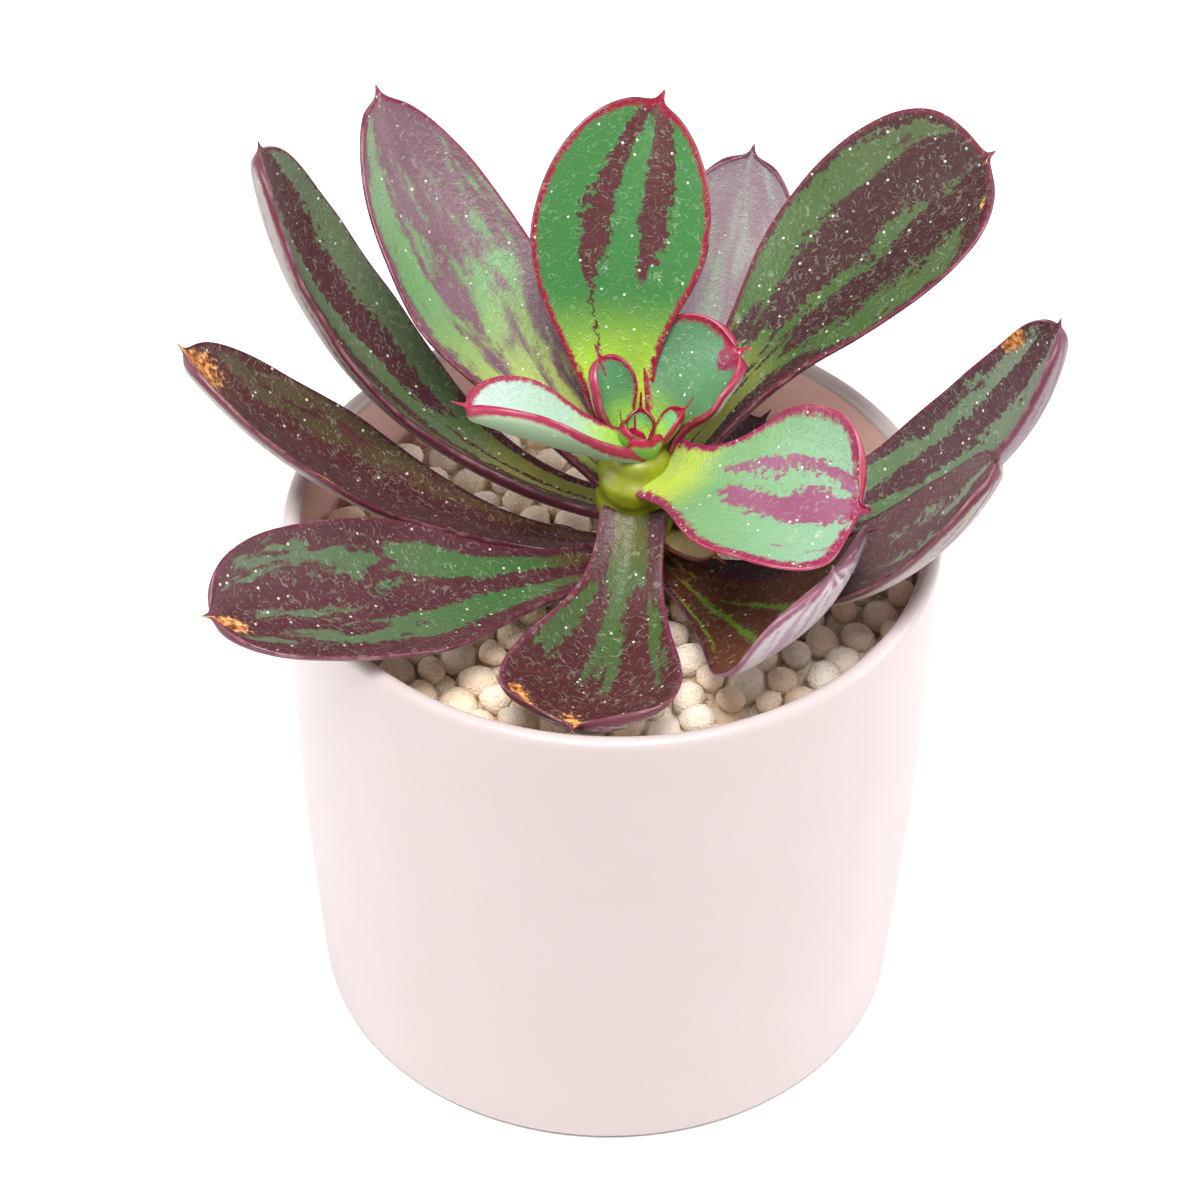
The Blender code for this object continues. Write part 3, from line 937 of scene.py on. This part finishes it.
BUD_SKIN = LeafSkin(
    low=PLAIN, high=((0.0, 0.7), (0.3, 0.3), (0.5, 1.0), (0.7, 0.3), (1.0, 0.7)), seed=21.0,
    change=(0.5, 0.8), base="#a8cf48", base_reach=0.4, green="#74b874", green_end="#7fbc89",
    maroon="#8e1737", maroon_end="#972c48", margin="#971035", margin_mm=0.5, mottle=0.1,
    tip_wash=1.2, wash_from=0.45)


@dataclass(frozen=True)
class Leaf:
    """One fleshy leaf. Sizes are millimetres, angles degrees and shares run from 0 to 1."""

    name: str
    heading: float
    height: float
    length: float
    width: float
    rise: tuple[float, float]
    skin: LeafSkin
    back: LeafBack = MATURE_BACK
    bend: tuple[float, float] = (0.0, 0.0)
    roll: tuple[float, float] = (0.0, 0.0)
    fold: float = 8.0
    cup: tuple[float, float] = (25.0, 25.0)
    widest: float = 0.64
    neck: float = 7.0
    thick: float = 3.0
    blunt: float = 2.2
    wave: float = 0.0
    node: bool = True
    sink: float = 1.6
    columns: int = 16
    rows: int = 44

    TIP = 2.4
    MARGIN = 0.6
    STEPS = 120
    OUTLINE_STEPS = 240

    def directions(self, part: float) -> tuple[Vector, Vector, Vector]:
        """Forward, left and up directions at a share of the length."""
        climb, lean, turn = (
            math.radians(pair[0] + (pair[1] - pair[0]) * part)
            for pair in (self.rise, self.bend, self.roll))
        heading = math.radians(self.heading)
        outward = Vector((math.cos(heading), math.sin(heading), 0.0))
        side = Vector((-math.sin(heading), math.cos(heading), 0.0))
        ahead = outward * math.cos(climb) + Vector((0.0, 0.0, math.sin(climb)))
        top = ahead.cross(side)
        forward = ahead * math.cos(lean) + side * math.sin(lean)
        flat_left = side * math.cos(lean) - ahead * math.sin(lean)
        left = flat_left * math.cos(turn) + top * math.sin(turn)
        return forward, left, forward.cross(left)

    def half_width(self, part: float) -> float:
        """Half the leaf's width at a share of its length."""
        blade_end = 1.0 - self.TIP / self.length
        along = part / blade_end
        if along < self.widest:
            growth = math.sin(math.pi / 2.0 * (along / self.widest) ** 1.4) ** 2
            full = self.neck + (self.width - self.neck) * growth
        else:
            past = min(1.0, (along - self.widest) / (1.0 - self.widest))
            full = self.width * (1.0 - past ** self.blunt) ** (1.0 / self.blunt)
        left = (1.0 - part) * self.length / self.TIP
        point = 0.1 + min(1.1, 0.035 * self.width) * max(0.0, min(1.5, left)) ** 1.3
        return max(full / 2.0, point)

    def depth(self, part: float, across: float) -> float:
        """Thickness of the flesh at a point of the leaf."""
        body = self.thick * (1.0 - 0.35 * part)
        shrink = min(1.0, self.half_width(part) / 4.0)
        swell = (body - self.MARGIN) * math.sqrt(max(0.0, 1.0 - across ** 2))
        return max(0.12, (self.MARGIN + swell) * shrink)

    def section(self, part: float, across: float) -> tuple[float, float]:
        """Sideways and upward place of a point of the upper face in its cross-section."""
        size = self.half_width(part)
        reach = abs(across)
        cup = math.radians(self.cup[0] if across > 0.0 else self.cup[1]) * min(1.0, 0.35 + part)
        start = math.radians(self.fold)
        end = start + cup * reach
        out = (math.sin(end) - math.sin(start)) / cup * size
        lift = (math.cos(start) - math.cos(end)) / cup * size
        ripple = self.wave * across ** 2 * math.sin(7.0 * part + 2.0 * across)
        uneven = 0.035 * size * across ** 2 * noise.noise(
            Vector((part * self.length / 11.0, across, self.skin.seed)))
        return math.copysign(out, across), lift + ripple + uneven

    def start(self, stem: Stem) -> Vector:
        """Where the midrib leaves the stem: the base clasps the stem's side."""
        forward, left, top = self.directions(0.0)
        heading = math.radians(self.heading)
        outward = Vector((math.cos(heading), math.sin(heading), 0.0))
        side = Vector((-math.sin(heading), math.cos(heading), 0.0))
        begin = stem.centre(self.height * stem.rise)
        reach = 0.0
        for across in (-1.0, -0.5, 0.0, 0.5, 1.0):
            out, lift = self.section(0.0, across)
            for depth in (0.0, self.depth(0.0, across)):
                point = begin + left * out + top * (lift - depth)
                above = point.z - stem.ground
                away = point - stem.centre(above)
                clear = stem.radius(above)
                sideways = away.dot(side)
                if abs(sideways) < clear:
                    reach = max(reach, math.sqrt(clear ** 2 - sideways ** 2) - away.dot(outward))
        return begin + outward * (reach - self.sink)

    def midrib(self, stem: Stem) -> list[tuple[Vector, Vector, Vector]]:
        """Points along the midrib, each with its left and up directions."""
        spot = self.start(stem)
        frames = []
        for step in range(self.STEPS + 1):
            forward, left, top = self.directions(step / self.STEPS)
            frames.append((spot, left, top))
            spot = spot + forward * ((self.length + self.sink) / self.STEPS)
        return frames

    def outline(self) -> list[Vector]:
        """The leaf's outline laid flat, as points a fraction of a millimetre apart."""
        points = []
        for step in range(self.OUTLINE_STEPS + 1):
            part = 1.0 - (1.0 - step / self.OUTLINE_STEPS) ** 1.5
            half = self.half_width(part)
            points += [Vector((half, part * self.length)), Vector((-half, part * self.length))]
        return points

    def build(self, stem: Stem) -> Piece:
        """Models the leaf: a grid laid over the midrib, thickened and subdivided.

        Args:
            stem: Stem that the leaf grows from.

        Returns:
            The finished mesh.
        """
        deselect_all()
        bpy.ops.mesh.primitive_grid_add(
            x_subdivisions=self.columns, y_subdivisions=self.rows, size=2.0)
        leaf = named(self.name + "_skin")
        frames = self.midrib(stem)
        outline = self.outline()
        flesh = leaf.vertex_groups.new(name="flesh")
        where: list[float] = []
        for vertex in leaf.data.vertices:
            along = (vertex.co.y + 1.0) / 2.0
            part = 0.5 * along + 0.5 * along * (2.0 - along)
            across = -math.copysign(1.0 - (1.0 - abs(vertex.co.x)) ** 1.2, vertex.co.x)
            exact = part * self.STEPS
            index = min(int(exact), self.STEPS - 1)
            near, far = frames[index], frames[index + 1]
            spot, left, top = (a.lerp(b, exact - index) for a, b in zip(near, far))
            out, lift = self.section(part, across)
            vertex.co = (spot + left * out + top * lift) * MM
            flat = Vector((across * self.half_width(part), part * self.length))
            edge = min((flat - point).length for point in outline[::2 if across > 0 else 1])
            where += [across, part, edge]
            flesh.add([vertex.index], self.depth(part, across) / self.thick, "REPLACE")
        layer = leaf.data.attributes.new("leaf_map", "FLOAT_VECTOR", "POINT")
        layer.data.foreach_set("vector", where)
        for shade in self.materials():
            leaf.data.materials.append(shade)
        apply_modifier(leaf, "SOLIDIFY", {
            "thickness": self.thick * MM, "offset": -1.0, "vertex_group": "flesh",
            "material_offset": 1, "material_offset_rim": 2})
        apply_modifier(leaf, "SUBSURF", {"levels": 1, "render_levels": 1})
        bpy.ops.object.shade_smooth()
        return leaf

    def materials(self) -> tuple[Material, Material, Material]:
        """Materials of the upper face, the underside and the edge."""
        under, edge = self.back.make()
        face = self.skin.make(self.name + "_waxy_leaf_skin", (self.width / 2.0, self.length))
        return face, under, edge

    def slot(self) -> Slot:
        """The slot for a leaf of this age."""
        if self.name.startswith("leaf_low"):
            return Slot.OLD_LEAF
        young = self.name.startswith(("leaf_inner", "bud")) or self.name == "leaf_right_pale"
        return Slot.YOUNG_LEAF if young else Slot.LEAF


@dataclass(frozen=True)
class BudLeaf(Leaf):
    """A small leaf of the opening bud. It stands for no CAD node of its own."""

    skin: LeafSkin = BUD_SKIN
    back: LeafBack = BUD_BACK
    cup: tuple[float, float] = (60.0, 60.0)
    neck: float = 4.5
    thick: float = 1.6
    node: bool = False
    sink: float = 3.0
    columns: int = 12
    rows: int = 20


LEAVES = (
    Leaf("leaf_back", 93, 0.758, 61.5, 31, (62, 55), LeafSkin(
        low=((0, 0.3), (0.06, 0), (0.28, 0), (0.33, 0.25), (0.38, 0), (0.58, 0), (0.63, 0.7),
              (0.68, 0), (1, 0.1)),
        high=((0, 0.5), (0.08, 0), (0.24, 0.05), (0.29, 1), (0.38, 1), (0.43, 0.1), (0.53, 0.1),
              (0.58, 1), (0.67, 1), (0.72, 0), (0.92, 0), (1, 0.6)),
        seed=1, tip_wash=0.45, change=(0.4, 0.62), base="#b1cf35", base_reach=0.34,
        green="#346d35", green_end="#3b6f3a", maroon="#42191d", maroon_end="#552c2e",
        margin="#83102c", margin_mm=1, mottle=0.18), bend=(18, -28), neck=9.5, blunt=1.95),
    Leaf("leaf_back_left", 130.3, 0.677, 78, 28.5, (16, 54), LeafSkin(
        low=((0, 0.9), (0.1, 0.8), (0.2, 0.2), (0.3, 0.55), (0.4, 0.3), (0.5, 0.15), (0.58, 0.6),
              (0.68, 0.5), (0.76, 0.1), (0.88, 0.15), (0.95, 0.7), (1, 0.9)),
        high=((0, 0.5), (0.15, 0.7), (0.3, 0.8), (0.55, 0.85), (0.66, 0.8), (0.74, 0.15),
              (0.88, 0.2), (0.95, 0.6), (1, 0.9)),
        seed=2, tip_wash=0.4, change=(0.4, 0.75), base="#a9b45c", base_reach=0.4, green="#5f8a54",
        green_end="#74866b", maroon="#5c3742", maroon_end="#745865", margin="#701e3b",
        margin_mm=0.6, mottle=0.45, soft=0.3), bend=(10, -8), widest=0.54, neck=10, blunt=1.9),
    Leaf("leaf_left_upper", 152, 0.484, 94, 26, (-11, 85), LeafSkin(
        low=((0, 0.9), (0.1, 0.8), (0.16, 0.1), (0.42, 0.1), (0.5, 0.7), (0.56, 0.2), (0.66, 0.3),
              (0.74, 0.9), (0.82, 0.5), (0.9, 1), (1, 1)),
        high=((0, 0.5), (0.06, 0.1), (0.2, 0.05), (0.27, 1), (0.4, 1), (0.46, 0.1), (0.6, 0.15),
              (0.65, 1), (0.73, 1), (0.79, 0.1), (0.88, 0.2), (0.93, 1), (1, 1)),
        seed=3, tip_wash=0.3, change=(0.25, 0.5), base="#948b32", base_reach=0.25, green="#445930",
        green_end="#58644c", maroon="#3a1317", maroon_end="#4c232a", margin="#551c2d",
        margin_mm=0.6, mottle=0.21), roll=(2, 14), fold=10, cup=(42, 16)),
    Leaf("leaf_left_lower", 171.5, 0.2, 82.5, 24, (-3, 53), LeafSkin(
        low=((0, 0.6), (0.2, 0.35), (0.35, 0.8), (0.5, 1), (0.7, 0.9), (0.85, 1), (1, 1)),
        high=((0, 0.5), (0.15, 0.35), (0.3, 0.45), (0.4, 1), (0.52, 0.7), (0.64, 1), (0.8, 0.95),
              (1, 1)),
        seed=4, base="#533115", base_reach=0.4, green="#443621", green_end="#4f4536",
        maroon="#371415", maroon_end="#562f31", margin="#471a24", margin_mm=0.6, mottle=0.3,
        cork=((0.1, 0.97, 8), (0.95, 0.88, 3.5), (0.97, 0.75, 2.5), (0.98, 0.62, 2.2))),
        roll=(4, 10), neck=6.5),
    Leaf("leaf_front_left", 208, 0.177, 76, 31, (6, 21), LeafSkin(
        low=((0, 1), (0.12, 0.9), (0.2, 0.2), (0.34, 0.2), (0.42, 1), (0.55, 1), (0.62, 0.15),
              (0.78, 0.15), (0.86, 1), (1, 1)),
        high=((0, 0.7), (0.12, 0.4), (0.25, 0.45), (0.32, 1), (0.42, 0.8), (0.5, 0.35),
              (0.58, 0.9), (0.7, 0.5), (0.8, 0.35), (0.9, 0.9), (1, 1)),
        seed=5, tip_wash=0.35, change=(0.35, 0.8), base="#53321e", base_reach=0.15,
        green="#385d2d", green_end="#555f49", maroon="#3b151b", maroon_end="#552b34",
        margin="#561f31", margin_mm=0.7, mottle=0.36, cork=((0.3, 0.97, 4.5),)), roll=(-8, -16),
        widest=0.58, neck=9, blunt=2.8),
    Leaf("leaf_front", 261, 0.689, 47, 31, (-40, 18), LeafSkin(
        low=((0, 1), (0.22, 1), (0.28, 0), (0.72, 0), (0.78, 1), (1, 1)),
        high=((0, 0.9), (0.06, 0.5), (0.1, 0.1), (0.2, 0.15), (0.26, 1), (0.37, 1), (0.43, 0),
              (0.58, 0), (0.64, 1), (0.75, 1), (0.81, 0.15), (0.9, 0.3), (1, 0.9)),
        seed=6, wash_from=0.45, tip_wash=0.95, change=(0.2, 0.42), base="#4c4804", base_reach=0.2,
        green="#374e1d", green_end="#435236", maroon="#380f13", maroon_end="#52252a",
        margin="#62233b", margin_mm=0.7, mottle=0.33, cork=((-0.1, 0.985, 4), (0.35, 0.965, 2.4),
        (-0.75, 0.9, 2.2))), bend=(2, -8), widest=0.84, neck=11.5, blunt=3.9, wave=1),
    Leaf("leaf_front_right", -48, 0.329, 53.5, 36, (-24, 84), LeafSkin(
        low=((0, 0.9), (0.12, 0.4), (0.2, 0.9), (0.32, 0.95), (0.4, 0.3), (0.47, 0.95),
              (0.55, 0.95), (0.62, 0.25), (0.7, 0.95), (0.85, 0.9), (1, 1)),
        high=((0, 0.8), (0.2, 0.9), (0.35, 0.4), (0.45, 0.9), (0.6, 0.5), (0.75, 0.9), (1, 0.9)),
        seed=7, base="#8b780f", base_reach=0.2, green="#648723", green_end="#52622b",
        maroon="#53271b", maroon_end="#633927", margin="#532031", margin_mm=0.7, mottle=0.27),
        LeafBack("leaf_underside_curled", "#a39899", "#8a7080", 0.8, "#734455"), roll=(13, 14),
        fold=4, cup=(12, 12), widest=0.74, blunt=2.8),
    Leaf("leaf_right_pale", -37, 0.871, 42.5, 31, (24, 10), LeafSkin(
        low=((0, 0.2), (0.1, 0), (0.3, 0), (0.36, 0.3), (0.42, 0), (0.62, 0), (0.7, 0.35),
              (0.78, 0), (1, 0.2)),
        high=((0, 0.4), (0.1, 0.1), (0.2, 0.35), (0.27, 0.1), (0.36, 0.15), (0.44, 0.9),
              (0.52, 0.75), (0.6, 0.15), (0.68, 0.8), (0.75, 0.1), (1, 0.2)),
        seed=8, change=(0.25, 0.45), base="#abbc42", base_reach=0.25, green="#69935e",
        green_end="#7a9d81", maroon="#7a3353", maroon_end="#8c5a72", margin="#821c44",
        margin_mm=1.5, mottle=0.21), YOUNG_BACK, roll=(10, 32), widest=0.62, neck=12.5, blunt=3.9,
        bend=(-16, 19), wave=1.2),
    Leaf("leaf_back_right", 33.5, 0.629, 78.5, 37, (26, 42), LeafSkin(
        low=((0, 1), (0.12, 1), (0.2, 0.6), (0.28, 0.1), (0.4, 0.15), (0.47, 0.6), (0.55, 0.15),
              (0.72, 0.15), (0.8, 0.9), (0.92, 0.6), (1, 0.9)),
        high=((0, 0.9), (0.06, 0.4), (0.2, 0.2), (0.3, 0.95), (0.42, 0.8), (0.5, 0.25),
              (0.58, 0.95), (0.72, 1), (0.8, 0.25), (0.93, 0.2), (1, 0.7)),
        seed=9, wash_from=0.75, tip_wash=0.3, change=(0.3, 0.5), base="#9f9d42", base_reach=0.3,
        green="#395622", green_end="#465432", maroon="#331113", maroon_end="#3e1e21",
        margin="#601a2e", margin_mm=0.8, mottle=0.27, cork=((-0.25, 0.99, 1.5),
        (-0.7, 0.93, 0.9))), bend=(18, -20), cup=(15, 14), widest=0.72, neck=9, blunt=2.9),
    Leaf("leaf_back_pale", 75, 0.387, 69, 26, (2, 78), LeafSkin(
        low=((0, 0.7), (0.5, 0.5), (1, 0.7)),
        high=((0, 0.7), (0.2, 0.45), (0.35, 0.75), (0.5, 0.4), (0.65, 0.75), (0.8, 0.45),
              (1, 0.7)),
        seed=10, base="#807f53", green="#96a18e", green_end="#9fa59a", maroon="#8b717d",
        maroon_end="#a19099", margin="#704458", margin_mm=0.5, mottle=0.36, soft=0.35,
        cork=((0, 0.99, 1.1),)), bend=(0, -8), roll=(8, 14)),
    Leaf("leaf_right_upper", 2.5, 0.532, 85, 25.5, (-23, 87), LeafSkin(
        low=((0, 0.9), (0.12, 0.2), (0.22, 0.9), (0.32, 0.9), (0.38, 0.1), (0.5, 0.1),
              (0.56, 0.95), (0.66, 0.95), (0.72, 0.15), (0.84, 0.2), (0.9, 0.9), (1, 0.9)),
        high=((0, 0.9), (0.1, 0.3), (0.22, 0.2), (0.28, 0.95), (0.36, 0.9), (0.42, 0.15),
              (0.54, 0.2), (0.6, 0.95), (0.7, 0.9), (0.76, 0.2), (0.88, 0.4), (1, 0.9)),
        seed=11, base="#737f3b", green="#536b48", green_end="#727c6b", maroon="#3f1d22",
        maroon_end="#583b42", margin="#5b2235", margin_mm=0.7, mottle=0.27,
        cork=((0.92, 0.86, 3.2), (-0.9, 0.84, 3))), LeafBack("leaf_underside_rolled", "#7b6770",
        "#623c4b", 0.7, "#5b2235"), roll=(8, 14), cup=(20, 55)),
    Leaf("leaf_right_lower", -22, 0.145, 75, 24, (-1, 75), LeafSkin(
        low=((0, 1), (0.3, 0.8), (0.5, 0.9), (0.7, 0.6), (1, 0.9)),
        high=((0, 0.9), (0.2, 0.5), (0.32, 0.95), (0.45, 0.4), (0.55, 0.95), (0.7, 0.4),
              (0.85, 0.9), (1, 1)),
        seed=12, base="#62532c", green="#737f60", green_end="#848b7a", maroon="#553033",
        maroon_end="#705358", margin="#481a28", margin_mm=0.6, mottle=0.3), roll=(6, 12),
        cup=(5, 30)),
    Leaf("leaf_inner_right", 40, 0.903, 22, 23, (58, 24), LeafSkin(
        low=PLAIN,
        high=((0, 0.2), (0.25, 0), (0.36, 0.5), (0.44, 0.9), (0.52, 0.8), (0.6, 0.3), (0.8, 0),
              (1, 0.2)),
        seed=13, wash_from=0.7, tip_wash=0.7, change=(0.55, 0.85), base="#8bb22f", base_reach=0.3,
        green="#4f7b53", green_end="#537d5b", maroon="#73233c", maroon_end="#7f354e",
        margin="#8e1033", margin_mm=0.9, mottle=0.12), YOUNG_BACK, bend=(12, -30), cup=(50, 50)),
    Leaf("leaf_inner_back", 135, 0.919, 17, 9.5, (75, 60), LeafSkin(
        low=PLAIN,
        high=((0, 0.1), (0.4, 0.2), (0.5, 0.95), (0.6, 0.2), (1, 0.1)),
        seed=14, change=(0.5, 0.8), base="#9ccf44", base_reach=0.4, green="#4a7f4f",
        green_end="#517f5c", maroon="#731c35", maroon_end="#7f354e", margin="#8e1033",
        margin_mm=0.6, mottle=0.09), YOUNG_BACK, neck=4.5, cup=(50, 50)),
    Leaf("leaf_inner_left", 232, 0.975, 30, 17, (30, 34), LeafSkin(
        low=PLAIN,
        high=((0, 0.2), (0.3, 0.1), (0.5, 0.4), (0.7, 0.1), (1, 0.2)),
        seed=15, base="#96b94f", base_reach=0.3, green="#90ab96", green_end="#a9b9b4",
        maroon="#9a496b", maroon_end="#b37893", margin="#8b173c", margin_mm=0.9, mottle=0.21),
        YOUNG_BACK, bend=(-25, -46), roll=(-14, -14), neck=7, fold=18, cup=(48, 35), sink=4.4),
    Leaf("leaf_low_right", -34, 0.44, 13, 11, (12, -22), LeafSkin(
        low=PLAIN, high=PLAIN, seed=16, base="#c4b36b", green="#ccb781", green_end="#c2a16f",
        margin="#9b4e28", margin_mm=0.4, mottle=0.06), OLD_BACK, neck=7, blunt=2.4, thick=1.6),
    Leaf("leaf_low_left", 165, 0.084, 16, 9, (2, 12), LeafSkin(
        low=((0, 0.4), (1, 0.6)),
        high=((0, 0.7), (1, 0.7)),
        seed=17, base="#9c9b49", green="#8b9458", green_end="#8e9467", maroon="#905c67",
        maroon_end="#a77a85", margin="#7f3549", margin_mm=0.4), OLD_BACK, neck=4.5, thick=1.8),
    Leaf("leaf_low_back", 50, 0.194, 31, 16, (8, 26), LeafSkin(
        low=((0, 0.8), (1, 0.8)),
        high=((0, 0.9), (0.5, 0.6), (1, 0.9)),
        seed=18, base="#626235", green="#606753", green_end="#666e5e", maroon="#472b37",
        maroon_end="#624753", margin="#481e30", margin_mm=0.5), OLD_BACK, neck=5.5),
    BudLeaf("bud_outer", 290, 0.94, 7, 6.5, (62, 75), neck=5, thick=1.8),
    BudLeaf("bud_right", 12, 0.95, 9.5, 6, (46, 62)),
    BudLeaf("bud_left", 195, 0.96, 6.5, 5.5, (65, 88)),
    BudLeaf("bud_back", 88, 0.96, 7, 5.5, (68, 92)),
    BudLeaf("bud_core", 240, 0.98, 6, 3.6, (80, 92), neck=3, thick=1.4, cup=(70, 70), sink=2),
)


@dataclass
class Rosette:
    """The leaves round the stem and the bud that opens at its crown."""

    stem: Stem

    def build(self) -> None:
        """Models and dresses every leaf."""
        for leaf in LEAVES:
            piece = leaf.build(self.stem)
            hand_over(piece, leaf.slot(), *([leaf.name] if leaf.node else []))


# ---------------------------------------------------------------- studio


@dataclass(frozen=True)
class SoftBox:
    """One soft light: where it stands, how large it is and how strong."""

    name: str
    place: tuple[float, float, float]
    size: float
    watts: float


@dataclass
class Studio:
    """A pale floor, soft lights from above and both sides, and the camera."""

    aim: Vector
    distance: float = 0.8
    elevation: float = 41.67
    roll: float = 0.75
    lens: float = 142.2
    surround: float = 0.46
    boxes: tuple[SoftBox, ...] = (
        SoftBox("key_box", (0.0, -0.42, 1.25), 0.7, 23.5),
        SoftBox("left_box", (-0.9, 0.1, 0.45), 0.7, 5.5),
        SoftBox("right_box", (0.9, 0.1, 0.45), 0.7, 5.5),
    )

    def build_floor(self) -> None:
        """Lays the floor: one wide plane of matt white paper."""
        deselect_all()
        bpy.ops.mesh.primitive_plane_add(size=8.0, location=(0.0, 0.0, 0.0))
        floor = named("studio_floor")
        material, tree, shader = new_material("matte_white_paper")
        feed(tree, shader, {
            "Base Color": linear("#fbfbfb"), "Roughness": 0.9, "Specular IOR Level": 0.1})
        floor.data.materials.append(material)

    def build_lights(self) -> None:
        """Sets the soft boxes and an even white surround."""
        for box in self.boxes:
            lamp = bpy.data.lights.new(box.name, "AREA")
            lamp.shape, lamp.size, lamp.energy = "DISK", box.size, box.watts
            light = bpy.data.objects.new(box.name, lamp)
            light.location = box.place
            towards = self.aim - Vector(box.place)
            light.rotation_euler = towards.to_track_quat("-Z", "Y").to_euler()
            bpy.context.scene.collection.objects.link(light)
        world = bpy.data.worlds.new("studio_white")
        world.use_nodes = True
        feed(world.node_tree, world.node_tree.nodes["Background"], {
            "Color": (1.0, 1.0, 1.0, 1.0), "Strength": self.surround})
        bpy.context.scene.world = world
        bpy.context.scene.view_settings.view_transform = "Standard"

    def build_camera(self) -> None:
        """Puts the camera in front of the object, above it, and turns it a little."""
        angle, turn = math.radians(self.elevation), math.radians(self.roll)
        back = Vector((0.0, -math.cos(angle), math.sin(angle)))
        right, up = Vector((1.0, 0.0, 0.0)), Vector((0.0, math.sin(angle), math.cos(angle)))
        rolled_right = right * math.cos(turn) + up * math.sin(turn)
        rolled_up = up * math.cos(turn) - right * math.sin(turn)
        lens = bpy.data.cameras.new("camera")
        lens.lens = self.lens
        camera = bpy.data.objects.new("camera", lens)
        turned = Matrix((rolled_right, rolled_up, back)).transposed().to_4x4()
        camera.matrix_world = Matrix.Translation(self.aim + back * self.distance) @ turned
        bpy.context.scene.collection.objects.link(camera)
        bpy.context.scene.camera = camera

    def build(self) -> None:
        """Builds the floor, the lights and the camera."""
        self.build_floor()
        self.build_lights()
        self.build_camera()


def write_sizes() -> None:
    """Updates the view layer, so that every object's matrix is current."""
    bpy.context.view_layer.update()


def main() -> None:
    """Builds the pot, its fill, the plant and the studio, in that order."""
    logging.basicConfig(level=logging.INFO, format="%(message)s")
    low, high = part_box("pot")
    pot = Pot(height=(high.z - low.z) * PER_MM)
    pot.dress(pot.build())
    bed = GranuleBed(pot, surface=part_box("gravel")[1].z * PER_MM)
    bed.dress(bed.build())
    stem = Stem(ground=bed.surface)
    stem.dress(stem.build())
    Rosette(stem).build()
    Studio(aim=CAMERA_AIM).build()
    write_sizes()


if __name__ == "__main__":
    main()
